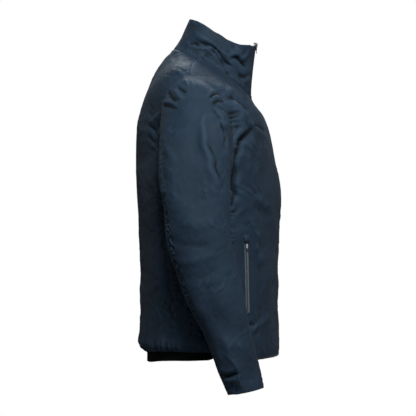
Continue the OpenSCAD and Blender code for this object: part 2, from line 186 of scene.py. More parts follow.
class LoopSurface:
    """A surface made of closed loops, read by an angle in degrees and a row number."""

    last_row = TOP_ROW

    def point(self, a: Array, t: Array) -> Array:
        """The outer face's points."""
        raise NotImplementedError

    def normal(self, a: Array, t: Array) -> Array:
        """The outward unit normals.

        Args:
            a: Angles in degrees.
            t: Row numbers.

        Returns:
            One normal for each angle and row.
        """
        low, high = np.clip(t - 0.02, 0, self.last_row), np.clip(t + 0.02, 0, self.last_row)
        along = self.point(a, high) - self.point(a, low)
        across = self.point(a + 1, t) - self.point(a - 1, t)
        return unit(np.cross(along, across))

    def inside(self, a: Array, t: Array, depth: Array | float) -> Array:
        """Points below the outer face.

        Args:
            a: Angles in degrees.
            t: Row numbers.
            depth: How far below the outer face they lie.

        Returns:
            One point for each angle and row.
        """
        a, t = np.broadcast_arrays(np.asarray(a, float), np.asarray(t, float))
        depth = np.broadcast_to(depth, a.shape)[..., None]
        return self.point(a, t) - depth * self.normal(a, t)

    def even_rows(self, angles: Sequence[float], low: float, high: float, pitch: float) -> Array:
        """Row numbers that lie evenly along the cloth.

        Args:
            angles: The angles whose lengths are averaged.
            low: The first row.
            high: The last row.
            pitch: The wanted distance between rows.

        Returns:
            The row numbers, first and last included.
        """
        t = np.linspace(low, high, 400)
        total = np.mean([lengths(self.point(np.full_like(t, a), t)) for a in angles], 0)
        return np.interp(np.linspace(0, total[-1], max(2, round(total[-1] / pitch) + 1)), total, t)

    def even_shares(self, first: float, last: float, row: float, pitch: float) -> Array:
        """Shares of the way between two angles that lie evenly round the loop.

        Args:
            first: The first angle.
            last: The last angle.
            row: The row that they are measured at.
            pitch: The wanted distance between them.

        Returns:
            The shares, from 0 to 1.
        """
        a = np.linspace(first, last, 500)
        total = lengths(self.point(a, np.full_like(a, row)))
        wanted = np.linspace(0, total[-1], max(2, round(total[-1] / pitch) + 1))
        return (np.interp(wanted, total, a) - first) / (last - first)


class BodySurface(LoopSurface):
    """The torso and collar: the angle runs from the front centre towards the wearer's right."""

    back_fall = 1.8

    def point(self, a: Array, t: Array) -> Array:
        """The outer face's points.

        Args:
            a: Angles in degrees.
            t: Row numbers.

        Returns:
            One point for each angle and row.
        """
        a, t = np.broadcast_arrays(np.asarray(a, float), np.asarray(t, float))
        row = between(BODY_ROWS, t)
        turn = np.radians(a)
        c, s = signed_power(np.cos(turn), 2 / BODY_ROUND), signed_power(np.sin(turn), 2 / BODY_ROUND)
        front, share = c > 0, np.abs(c)
        end_y = np.where(front, row[..., 0], row[..., 2])
        end_z = np.where(front, row[..., 1], row[..., 3])
        fall = np.where(front, row[..., 7], self.back_fall)
        prop = row[..., 8] * np.maximum(0, np.cos(turn)) ** 12
        y = row[..., 5] + share * (end_y - row[..., 5])
        z = row[..., 6] + share**fall * (end_z - row[..., 6]) + prop
        return np.stack([-row[..., 4] * s, y, z], -1)

    def angle_at(self, x: float, t: Array) -> Array:
        """The angle at which the loop is a distance out from the middle."""
        return np.degrees(np.arcsin((x / between(BODY_ROWS, np.asarray(t, float))[..., 4]) ** (BODY_ROUND / 2)))

    def row_at(self, z: float) -> float:
        """The torso's row whose side lies at a height."""
        t = np.arange(0, 8.25, 0.25)
        return float(np.interp(z, between(BODY_ROWS, t)[:, 6], t))


class SleeveSurface(LoopSurface):
    """The right sleeve: the angle runs from its outer line towards the front."""

    last_row = CUFF_ROW

    def point(self, a: Array, t: Array) -> Array:
        """The outer face's points.

        Args:
            a: Angles in degrees.
            t: Row numbers, from the armhole.

        Returns:
            One point for each angle and row.
        """
        a, t = np.broadcast_arrays(np.asarray(a, float), np.asarray(t, float))
        row = between(SLEEVE_ROWS, t)
        outer, front, inner, back = (row[..., k, :] for k in range(4))
        turn = np.radians(a)
        c = signed_power(np.cos(turn), 2 / SLEEVE_ROUND)[..., None]
        s = signed_power(np.sin(turn), 2 / SLEEVE_ROUND)[..., None]
        p = (outer + front + inner + back) / 4 + c * (outer - inner) / 2 + s * (front - back) / 2
        p = p + np.cos(2 * turn)[..., None] * (outer + inner - front - back) / 4
        return p * TO_RIGHT


BODY = BodySurface()
SLEEVE = SleeveSurface()


def nearest(points: Array, line: Array) -> tuple[Array, Array]:
    """How far points are from a line, and how far along it.

    Args:
        points: Points in two or three dimensions, as rows.
        line: The line's points, as rows.

    Returns:
        The distance, and the length along the line, of each point.
    """
    best = np.full(len(points), 1e9)
    along = np.zeros(len(points))
    start = 0.0
    for a, b in zip(line[:-1], line[1:]):
        d = b - a
        size = float(np.linalg.norm(d))
        u = np.clip((points - a) @ d / (size * size), 0, 1)
        gap = np.linalg.norm(points - a - u[:, None] * d, axis=1)
        closer = gap < best
        best = np.where(closer, gap, best)
        along = np.where(closer, start + u * size, along)
        start += size
    return best, along


@dataclass(frozen=True)
class Fold:
    """A ridge or crease in cloth, drawn as seen from the wearer's side.

    Attributes:
        line_mm: The y and z of its points.
        width_mm: Half its width.
        height_mm: How far it stands out, or in if negative.
        sharp: The power of its section: 2 is round, nearer 1 is a crease.
    """

    line_mm: Line
    width_mm: float
    height_mm: float
    sharp: float = 2.0

    def relief(self, flat: Array) -> Array:
        """How far the cloth moves out.

        Args:
            flat: Points seen from the side, as y and z.

        Returns:
            One distance for each point.
        """
        line = np.array(self.line_mm) * MM
        gap, along = nearest(flat, line)
        total = float(np.sum(np.linalg.norm(np.diff(line, axis=0), axis=1)))
        ends = smooth(along, -0.02 * total, 0.3 * total) * smooth(total - along, -0.02 * total, 0.3 * total)
        return self.height_mm * MM * np.exp(-((gap / (self.width_mm * MM)) ** self.sharp)) * ends


def folded(*rows: tuple) -> tuple[Fold, ...]:
    """Folds from rows of their line, width, height and sharpness."""
    return tuple(Fold(*row) for row in rows)


@dataclass(frozen=True)
class Ripples:
    """Random soft waves in cloth, the same each time for one seed.

    Attributes:
        seed: The seed of the random draws.
        wave_mm: The mean length of a wave.
        height_mm: The height of the waves.
        stretch: How much longer the waves are along z than across.
        ridged: Whether the waves have sharp crests.
        count: How many waves are added.
    """

    seed: int
    wave_mm: float
    height_mm: float
    stretch: float = 1.0
    ridged: bool = False
    count: int = 9

    def relief(self, p: Array) -> Array:
        """How far the cloth moves out.

        Args:
            p: Points, as rows.

        Returns:
            One distance for each point.
        """
        draw = np.random.default_rng(self.seed)
        warp = 0.3 * self.wave_mm * MM * np.sin(p[:, [1, 2, 0]] * (3.1 / (self.wave_mm * MM)))
        q = p + warp
        total = np.zeros(len(p))
        for _ in range(self.count):
            way = unit(draw.normal(size=3))
            way[2] /= self.stretch
            k = 2 * math.pi / (self.wave_mm * MM) * draw.uniform(0.6, 1.5)
            wave = np.sin(q @ way * k + draw.uniform(0, 2 * math.pi))
            total += (1 - 2 * np.abs(wave)) if self.ridged else wave
        return self.height_mm * MM * total / math.sqrt(self.count)


def seam_line(surface: LoopSurface, a: Array | float, t: Array | float) -> Array:
    """The points of a seam on a surface, from its angles and rows."""
    a, t = np.broadcast_arrays(np.asarray(a, float), np.asarray(t, float))
    return surface.point(a, t)


@dataclass(frozen=True)
class Seam:
    """A sewn seam: a groove with short puckers across it.

    Attributes:
        line: The seam's points on the wearer's right, in metres.
        groove_mm: The groove's depth.
        pucker_mm: The puckers' height.
        reach_mm: How far the puckers reach from the seam.
        pitch_mm: The distance from one pucker to the next.
    """

    line: Array
    groove_mm: float = 0.7
    pucker_mm: float = 0.5
    reach_mm: float = 8.0
    pitch_mm: float = 9.0

    def relief(self, p: Array) -> Array:
        """How far the cloth moves out.

        Args:
            p: Points on the wearer's right, as rows.

        Returns:
            One distance for each point.
        """
        gap, along = nearest(p, self.line)
        u = 2 * math.pi * along / (self.pitch_mm * MM)
        wave = np.sin(u + 1.7 * np.sin(u / 3.7)) * (0.6 + 0.4 * np.sin(u / 5.3 + 1))
        reach = self.reach_mm * MM
        pucker = self.pucker_mm * MM * wave * np.exp(-((gap / reach) ** 2)) * smooth(gap, 0, 0.3 * reach)
        return pucker - self.groove_mm * MM * np.exp(-((gap / (1.6 * MM)) ** 2))


class Armhole:
    """The armhole's outline on the wearer's right, seen from the side."""

    def __init__(self) -> None:
        """Reads the outline off the sleeve's first row."""
        b = np.linspace(0, 360, 181)
        self.points = SLEEVE.point(b, np.zeros_like(b))
        self.middle = SLEEVE_ROWS[0].mean(0)[1:]
        flat = self.points[:, 1:] - self.middle
        turn, reach = np.arctan2(flat[:, 1], flat[:, 0]), np.linalg.norm(flat, axis=1)
        order = np.argsort(turn)
        self.turn, self.reach = turn[order], reach[order]

    def share(self, p: Array) -> Array:
        """How far out points lie from the outline's middle.

        Args:
            p: Points on the wearer's right.

        Returns:
            1 on the outline and less inside it, for each point.
        """
        flat = p[..., 1:] - self.middle
        turn = np.arctan2(flat[..., 1], flat[..., 0])
        reach = np.interp(turn, self.turn, self.reach, period=2 * math.pi)
        return np.linalg.norm(flat, axis=-1) / reach


ARMHOLE = Armhole()


class PocketPlace:
    """The right pocket's own frame: across the zip, out of the cloth and up the zip, from the zip's middle."""

    angle = 61.0
    slant = -2.0
    top_z = -400 * MM
    length = 158 * MM

    def __init__(self) -> None:
        """Lays the zip on the torso between its low and its high end."""
        low = BODY.point(self.angle + self.slant, BODY.row_at(self.top_z - self.length))
        high = BODY.point(self.angle, BODY.row_at(self.top_z))
        lean = BODY.normal(np.array(self.angle), np.array(BODY.row_at(self.top_z - self.length / 2)))
        up = unit(high - low)
        out = unit(lean - (lean @ up) * up)
        self.middle = (low + high) / 2
        self.axes = np.stack([np.cross(out, up), out, up])

    def local(self, p: Array) -> Array:
        """Points in the pocket's own frame."""
        return (p - self.middle) @ self.axes.T

    def world(self, q: Array) -> Array:
        """Points of the pocket's own frame, in the jacket's frame."""
        return self.middle + q @ self.axes

    def outside(self, q: Array, half_width: float, spare: float) -> Array:
        """How far points lie outside a box round the zip.

        Args:
            q: Points in the pocket's own frame, as rows.
            half_width: Half the box's width.
            spare: How far the box goes past each end of the zip.

        Returns:
            One distance for each point.
        """
        beside = np.maximum(np.abs(q[:, 0]) - half_width, 0)
        beyond = np.maximum(np.abs(q[:, 2]) - self.length / 2 - spare, 0)
        return np.hypot(beside, beyond)


POCKET = PocketPlace()


class BodyRelief:
    """What moves the torso's and collar's cloth off its smooth loops."""

    folds = folded(
        (((-18, -104), (-64, -125), (-84, -148), (-122, -190)), 10, 6.5),
        (((-36, -74), (-60, -84), (-86, -98)), 7, 4.5),
        (((-34, -92), (-62, -104), (-92, -126)), 8, -4.5),
        (((-48, -112), (-66, -140), (-68, -166), (-54, -200), (-48, -240)), 9, 8.0),
        (((-104, -158), (-87, -166), (-70, -190), (-60, -216), (-56, -254), (-56, -310), (-54, -350)),
         5.5, -11.0, 1.3),
        (((-130, -166), (-112, -160), (-92, -158)), 5, -5.0, 1.4),
        (((-40, -127), (-66, -132), (-84, -140)), 3.5, 2.6),
        (((134, -146), (130, -159), (115, -178), (100, -183)), 3, -3.0, 1.4),
        (((137, -174), (120, -194), (110, -200)), 3, -3.0, 1.4),
        (((41, -543), (34, -557), (17, -587)), 4, -4.5, 1.4),
        (((15, -590), (11, -605), (8, -626)), 4, -6.5, 1.4),
        (((30, -608), (22, -620), (30, -636)), 4, -5.5, 1.4),
        (((56, -636), (44, -632), (33, -626)), 3.5, -4.5, 1.4),
        (((-108, -178), (-90, -205), (-80, -270)), 11, 3.5),
        (((40, -20), (66, -36), (100, -60)), 9, 2.5),
        (((60, 2), (84, -18), (112, -62)), 10, -2.0),
        (((108, -128), (116, -140), (126, -156)), 5, 3.0),
        (((104, -150), (112, -160), (124, -172)), 5, -2.5),
        (((96, -180), (103, -214)), 7, -6.0, 1.5),
        (((112, -190), (114, -260), (104, -330)), 12, 4.0),
        (((111, -329), (98, -401), (88, -450), (83, -544), (83, -617)), 4, -2.0, 1.5),
        (((100, -300), (92, -375), (77, -439)), 9, -4.0, 1.4),
        (((-74, -350), (-96, -363), (-105, -406), (-111, -450), (-134, -430)), 8, 3.4),
        (((-98, -310), (-118, -318), (-140, -336)), 9, 2.4),
        (((-92, -330), (-116, -342), (-136, -360)), 9, -1.4),
        (((-84, -580), (-105, -592)), 5, -3.5, 1.4),
        (((-88, -600), (-112, -588), (-134, -560)), 9, 3.0),
    )
    collar_folds = folded(
        (((33, 38), (8, 31), (-10, 22), (-22, 12), (-36, -3), (-48, -18), (-64, -34)), 4.8, -10.0, 1.3),
        (((2, 20), (-18, 5), (-34, -12), (-46, -26)), 4, -4.5, 1.5),
        (((12, 4), (-20, -18), (-52, -39)), 3, 1.7),
        (((14, -3), (-16, -25), (-48, -46)), 3, -1.7),
        (((-62, -38), (-78, -41), (-94, -38)), 3.5, -3.0, 1.5),
        (((-70, -47), (-84, -50), (-96, -48)), 3.5, 2.2),
        (((34, 54), (8, 36), (-20, 15), (-50, -8)), 9, 6.5),
        (((-48, -4), (-62, 0), (-73, -5), (-81, -13), (-90, -23)), 3.8, -7.5, 1.3),
        (((-42, 12), (-66, 6), (-92, -4)), 9, 4.5),
        (((-40, -38), (-66, -54), (-90, -62)), 8, 3.5),
        (((42, 28), (28, 28), (16, 26)), 3.4, -3.8, 1.4),
        (((52, 52), (30, 70)), 8, -2.5),
        (((-58, 26), (-76, 12)), 7, 3.0),
    )
    crumpled_mm = ((100, -300), (90, -375), (75, -439), (56, -494), (38, -560), (20, -620))
    left_shift = np.array([5, -8]) * MM

    def __init__(self) -> None:
        """Lays the seams on the smooth loops."""
        t = np.linspace(0, 6.6, 60)
        round_neck = np.linspace(4, 180, 70)
        top = np.linspace(9.2, NECK_ROW, 24)
        self.seams = (
            Seam(seam_line(BODY, FRONT_SEAM, t), 0.5, 1.3, 8, 12),
            Seam(seam_line(BODY, BACK_SEAM, t), 0.5, 0.9, 9, 15),
            Seam(seam_line(BODY, SHOULDER_SEAM, top), 0.8, 0.8, 8, 9),
            Seam(seam_line(BODY, round_neck, NECK_ROW), 0.7, 0.7, 9, 11),
        )
        self.armhole = Seam(np.concatenate([ARMHOLE.points, ARMHOLE.points[:1]]), 0.25, 1.9, 11, 12)
        self.neck_ridge = seam_line(BODY, round_neck, NECK_ROW - 0.12)
        self.broad = Ripples(5, 120, 2.1, 2.4)
        self.middle = Ripples(17, 42, 1.0, 1.5, True)
        self.fine = Ripples(31, 15, 0.42, 1.2, True)
        self.patch = Ripples(8, 90, 500, 1.0)
        self.crumple = Ripples(23, 21, 1.9, 0.9, True)

    def gathers(self, p: Array) -> Array:
        """The hem's gathers over its elastic band, deepest at the side and back.

        Args:
            p: Points of the smooth surface, as rows.

        Returns:
            How far each point moves out.
        """
        turn = np.arctan2(-np.abs(p[:, 0]), p[:, 1]) * 0.19 * np.where(p[:, 0] < 0, 1, 1.07)
        k = 2 * math.pi / MM
        wave = np.sin(turn * k / 19 + 1.3 * np.sin(turn * k / 67)) + 0.6 * np.sin(turn * k / 11.3 + 2)
        rise = p[:, 2] - HEM_Z
        rear = smooth(p[:, 1], -0.12, -0.02)
        near = np.exp(-((rise - 12 * MM) / (24 * MM)) ** 2)
        wide = np.exp(-((rise - 25 * MM) / (45 * MM)) ** 2)
        puff = 2.2 * MM * np.exp(-((rise - 22 * MM) / (16 * MM)) ** 2)
        broad = np.sin(turn * k / 41 + 0.7) * 1.6 * MM * wide
        return (0.3 + 0.7 * rear) * (puff + (0.9 * wave + 0.9) * 1.5 * MM * near + broad * rear)

    def calm(self, right: Array) -> Array:
        """How freely the cloth may move.

        Args:
            right: Points on the wearer's right, as rows.

        Returns:
            0 at the zip and round a pocket and 1 elsewhere, for each point.
        """
        q = POCKET.local(right)
        gap = np.where(np.abs(q[:, 1]) < 40 * MM, POCKET.outside(q, 9 * MM, 9 * MM), 1.0)
        return smooth(np.abs(right[:, 0]), 4 * MM, 26 * MM) * smooth(gap, 0, 24 * MM)

    def height(self, p: Array, n: Array, t: Array) -> Array:
        """How far the cloth moves out.

        Args:
            p: Points of the smooth surface, as rows.
            n: Its outward normals.
            t: Its row numbers.

        Returns:
            One distance for each point.
        """
        left = p[:, 0] > 0
        right = np.where(left[:, None], p * TO_RIGHT, p)
        flat = right[:, 1:] + np.where(left[:, None], self.left_shift, 0)
        flat = flat + 2.2 * MM * np.sin(flat[:, ::-1] * 140 + np.where(left, 1.0, 0.0)[:, None])
        facing = smooth(np.abs(n[:, 0]), 0.08, 0.42)
        on_collar = smooth(t, NECK_ROW - 0.1, NECK_ROW + 0.15)
        torso = sum(f.relief(flat) for f in self.folds)
        collar = sum(f.relief(flat) for f in self.collar_folds)
        total = facing * np.where(left, 0.85, 1.0) * (torso * (1 - on_collar) + collar * on_collar)
        total += self.broad.relief(p) * (1 - 0.5 * on_collar)
        patch = smooth(self.patch.relief(p), -0.3, 0.9)
        total += self.middle.relief(p) * (0.35 + 0.65 * patch) + self.fine.relief(p) * patch
        side_gap, _ = nearest(right[:, 1:], np.array(self.crumpled_mm) * MM)
        total += facing * (1 - on_collar) * np.exp(-((side_gap / (13 * MM)) ** 2)) * self.crumple.relief(p)
        total *= self.calm(right)
        total += sum(s.relief(right) for s in self.seams) * smooth(np.abs(p[:, 0]), 2 * MM, 12 * MM)
        total += self.armhole.relief(right) * (1 - 0.9 * smooth(p[:, 2], -0.125, -0.08))
        ridge, _ = nearest(right, self.neck_ridge)
        total += 0.5 * MM * np.exp(-((ridge / (3.4 * MM)) ** 2)) * (1 - on_collar)
        total += self.gathers(p)
        low = smooth(p[:, 2], HEM_Z + 24 * MM, HEM_Z + 62 * MM)
        return np.maximum(total, -0.4 * MM - 9 * MM * low)

    def shift(self, side: Side, a: Array, t: Array) -> tuple[Array, Array, Array]:
        """The smooth surface and how its cloth moves.

        Args:
            side: The half that the angles are read on.
            a: Angles from the front centre.
            t: Row numbers.

        Returns:
            The smooth points, the normals and the distances moved.
        """
        p, n = BODY.point(a, t), BODY.normal(a, t)
        if side is Side.LEFT:
            p, n = p * TO_RIGHT, n * TO_RIGHT
        h = self.height(p.reshape(-1, 3), n.reshape(-1, 3), np.broadcast_to(t, a.shape).ravel())
        return p, n, h.reshape(a.shape)

    def lift(self, p: Array) -> Array:
        """How far the bloused hem rides up over its band, most at the sides.

        Args:
            p: Points of the cloth.

        Returns:
            One height for each point.
        """
        rear = smooth(p[..., 1], -0.115, -0.03)
        side = smooth(np.abs(p[..., 0]), 0.06, 0.185)
        rise = np.maximum(p[..., 2] - HEM_Z, 0)
        return rear * (8 + 9 * side) * MM * np.exp(-rise / (34 * MM))

    def flatten(self, p: Array) -> Array:
        """Lays the cloth flat round each pocket.

        Args:
            p: Points of the cloth.

        Returns:
            The moved points.
        """
        right = np.where(p[..., :1] > 0, p * TO_RIGHT, p)
        q = POCKET.local(right.reshape(-1, 3))
        near = 1 - smooth(POCKET.outside(q, 10 * MM, 6 * MM), 0, 26 * MM)
        near = np.where(np.abs(q[:, 1]) < 20 * MM, near, 0)
        q[:, 1] *= 1 - near
        moved = POCKET.world(q).reshape(p.shape)
        return np.where(p[..., :1] > 0, moved * TO_RIGHT, moved)


class SleeveRelief:
    """What moves a sleeve's cloth off its smooth loops."""

    folds = folded(
        (((-12, -124), (-30, -140), (-50, -168)), 9, 4.5),
        (((-26, -142), (-34, -166), (-39, -196), (-42, -218)), 3.6, -7.0, 1.3),
        (((6, -120), (11, -181), (-4, -236), (-20, -290), (-32, -330)), 10, 4.6),
        (((1, -192), (-10, -228), (-21, -264), (-32, -304)), 7, -3.4, 1.6),
        (((30, -150), (34, -240), (20, -330)), 24, -2.2),
        (((90, -84), (79, -100), (63, -111)), 3.8, -5.0, 1.5),
        (((98, -105), (84, -114), (62, -115)), 3.6, 4.2),
        (((96, -118), (82, -122), (62, -122)), 3.6, -2.6),
        (((77, -81), (62, -96), (50, -103)), 3.2, 3.6),
        (((68, -73), (58, -82), (46, -94)), 3.2, -3.6, 1.5),
        (((56, -64), (46, -64), (42, -82)), 3.0, 2.6),
        (((36, -60), (33, -72), (32, -88)), 3.0, 1.6),
        (((-28, -80), (-12, -89), (6, -99)), 3.0, 3.0),
        (((-31, -88), (-16, -96), (-2, -104)), 2.8, -3.4, 1.5),
        (((-38, -89), (-22, -101), (-4, -112)), 3.2, 3.4),
        (((-41, -99), (-26, -109), (-8, -120)), 3.2, -3.6, 1.5),
        (((-16, -112), (-32, -121), (-48, -131)), 3.2, 3.2),
        (((-6, -128), (-20, -141), (-32, -153)), 3.6, -3.0, 1.5),
        (((-22, -146), (-32, -155), (-44, -163)), 3.2, 2.8),
        (((96, -200), (92, -250), (98, -300)), 7, -3.0),
        (((80, -190), (74, -260), (70, -330)), 12, 2.2),
        (((74, -360), (30, -372), (-30, -362)), 13, 1.8),
        (((84, -396), (40, -414), (-10, -410)), 9, -2.2),
        (((72, -440), (30, -446), (-20, -428)), 11, 2.4),
        (((56, -486), (20, -478), (-30, -460)), 10, -1.6),
        (((40, -540), (0, -548), (-50, -530)), 16, 1.8),
        (((-20, -600), (-50, -618), (-88, -626)), 12, 2.0),
        (((-28, -590), (-48, -644), (-62, -676), (-76, -724)), 8, 3.6, 1.5),
        (((-18, -684), (-36, -683), (-52, -681), (-68, -677)), 3.8, -6.0, 1.3),
        (((-16, -672), (-38, -670), (-56, -667)), 6, 1.8),
        (((-34, -690), (-50, -691), (-62, -688)), 3.4, 1.8),
        (((-40, -700), (-50, -708), (-60, -722)), 9, -3.2),
        (((-88, -640), (-96, -670), (-104, -700)), 9, -2.2),
    )
    crumpled_mm = ((98, -314), (88, -375), (74, -439), (55, -494), (36, -548), (10, -610))
    left_shift = np.array([4, -9]) * MM
    left_offset = np.array([0.4, 0, 0])
    stitch_row = 9.62

    def __init__(self) -> None:
        """Draws the random waves."""
        self.broad = Ripples(41, 110, 1.6, 2.0)
        self.middle = Ripples(47, 42, 0.7, 1.2, True)
        self.fine = Ripples(53, 16, 0.28, 1.2, True)
        self.patch = Ripples(59, 80, 500, 1.0)
        self.crumple = Ripples(61, 23, 1.9, 0.8, True)
        s = np.linspace(0, CUFF_ROW, 90)
        self.seams = (
            Seam(seam_line(SLEEVE, SLEEVE_FRONT_SEAM, s), 0.5, 0.7, 8, 14),
            Seam(seam_line(SLEEVE, SLEEVE_BACK_SEAM, s), 0.6, 1.1, 9, 13),
        )

    def shift(self, side: Side, b: Array, s: Array) -> tuple[Array, Array, Array]:
        """The smooth sleeve and how its cloth moves.

        Args:
            side: The sleeve.
            b: Angles round the sleeve.
            s: Row numbers from the armhole.

        Returns:
            The smooth points, the normals and the distances moved.
        """
        p, n = SLEEVE.point(b, s), SLEEVE.normal(b, s)
        right = p.reshape(-1, 3)
        real = right if side is Side.RIGHT else right * TO_RIGHT + self.left_offset
        flat = right[:, 1:] + (0 if side is Side.RIGHT else self.left_shift)
        flat = flat + 2.2 * MM * np.sin(flat[:, ::-1] * 130)
        facing = smooth(-n.reshape(-1, 3)[:, 0], -0.05, 0.4)
        row, turn = s.ravel(), b.ravel()
        total = facing * sum(f.relief(flat) for f in self.folds)
        total += self.broad.relief(real) * smooth(row, 0.2, 2)
        patch = smooth(self.patch.relief(real), -0.3, 0.9)
        total += self.middle.relief(real) * (0.3 + 0.7 * patch) + self.fine.relief(real) * patch
        gap, _ = nearest(right[:, 1:], np.array(self.crumpled_mm) * MM)
        total += facing * np.exp(-((gap / (9 * MM)) ** 2)) * self.crumple.relief(real)
        total += sum(q.relief(right) for q in self.seams)
        total += self.head(turn, row)
        cuff = np.exp(-(((row - self.stitch_row) / 0.018) ** 2))
        wave = np.sin(np.radians(turn) * 27 + 1.5 * np.sin(np.radians(turn) * 5))
        total += -0.4 * MM * cuff + 0.2 * MM * wave * np.exp(-(((row - 9.7) / 0.25) ** 2))
        total -= 9 * MM * np.exp(-(((turn - 88) / 26) ** 2) - ((row - 1.9) / 1.1) ** 2) * smooth(row, 0, 0.5)
        if side is Side.LEFT:
            p, n = p * TO_RIGHT, n * TO_RIGHT
        return p, n, total.reshape(b.shape)

    def head(self, turn: Array, row: Array) -> Array:
        """The fullness eased into the armhole, in puckers before and behind the shoulder.

        Args:
            turn: Angles round the sleeve.
            row: Row numbers from the armhole.

        Returns:
            How far each point moves out.
        """
        flank = np.exp(-(((np.abs(turn) - 62) / 24) ** 2))
        u = np.radians(turn) * 27
        wave = np.sin(u + 1.4 * np.sin(u / 3.1)) + 0.4 * np.sin(2.3 * u + 1)
        pucker = 1.1 * MM * wave * np.exp(-(((row - 0.4) / 0.5) ** 2))
        return pucker * flank * smooth(row, 0, 0.16)


# How a cut edge turns in: how far out past the edge, and how deep, in millimetres.
RING_TURN = ((0.15, 0.2), (0.2, 0.9), (0.1, 2.2))
SEAM_TURN = ((0.35, 0.35), (0.5, 1.1), (0.45, 2.2))
PLACKET_TURN = ((0.35, 0.15), (0.6, 0.6), (0.6, 1.15), (0.3, 1.7), (-0.6, 2.05), (-4, 2.15), (-9, 2.2))
HEM_TURN = ((0.6, 0.25), (0.95, 0.8), (0.9, 1.5), (0.4, 2.1), (-0.8, 2.4), (-6, 2.5), (-14, 2.6))
COLLAR_TURN = ((0.7, 0.3), (1.2, 1.0), (1.3, 1.9), (0.9, 2.7), (0, 3.2), (-5, 3.3), (-11, 3.35))
EDGING_TURN = (
    (-3.2, -0.3), (-1.4, -0.5), (0.3, -0.45), (1.3, 0.05), (1.8, 0.9),
    (1.75, 1.9), (1.2, 2.7), (-0.3, 3.0), (-2.6, 3.05),
)
CUFF_TURN = ((0.5, 0.25), (0.8, 0.8), (0.7, 1.5), (0.1, 2.0), (-1.5, 2.2), (-10, 2.3), (-22, 2.35))


def tidy_selection() -> None:
    """Deselects everything, in object mode."""
    if bpy.context.object and bpy.context.object.mode != "OBJECT":
        bpy.ops.object.mode_set(mode="OBJECT")
    for o in bpy.context.selected_objects:
        o.select_set(False)


def choose(piece: Piece) -> None:
    """Selects one piece alone and makes it active.

    Args:
        piece: The piece.
    """
    tidy_selection()
    piece.select_set(True)
    bpy.context.view_layer.objects.active = piece


def edit_all(piece: Piece) -> None:
    """Opens a piece in edit mode with all of it selected."""
    choose(piece)
    bpy.ops.object.mode_set(mode="EDIT")
    bpy.ops.mesh.select_all(action="SELECT")


def mesh_piece(name: str, points: Array, faces: list, uv: Array | None = None, crease: float = 50) -> Piece:
    """A piece from points and faces, smooth apart from its creases.

    Args:
        name: The piece's name.
        points: Its points, as rows.
        faces: Its faces, as rows of point numbers.
        uv: The cloth's own coordinates of each point in metres, and how hollow it is there in millimetres, from which
            its material paints crease shade and ridge highlight.
        crease: The angle in degrees past which an edge is sharp.

    Returns:
        The new object.
    """
    mesh = bpy.data.meshes.new(name)
    mesh.from_pydata(points.tolist(), [], faces)
    if uv is not None:
        corner = np.empty(len(mesh.loops), np.int32)
        mesh.loops.foreach_get("vertex_index", corner)
        mesh.uv_layers.new(name="UVMap").data.foreach_set("uv", uv[corner, :2].astype(np.float32).ravel())
        if uv.shape[1] > 2:
            mesh.attributes.new(HOLLOW, "FLOAT", "POINT").data.foreach_set("value", uv[:, 2].astype(np.float32))
    piece = bpy.data.objects.new(name, mesh)
    bpy.context.scene.collection.objects.link(piece)
    choose(piece)
    bpy.ops.object.shade_smooth_by_angle(angle=math.radians(crease))
    return piece


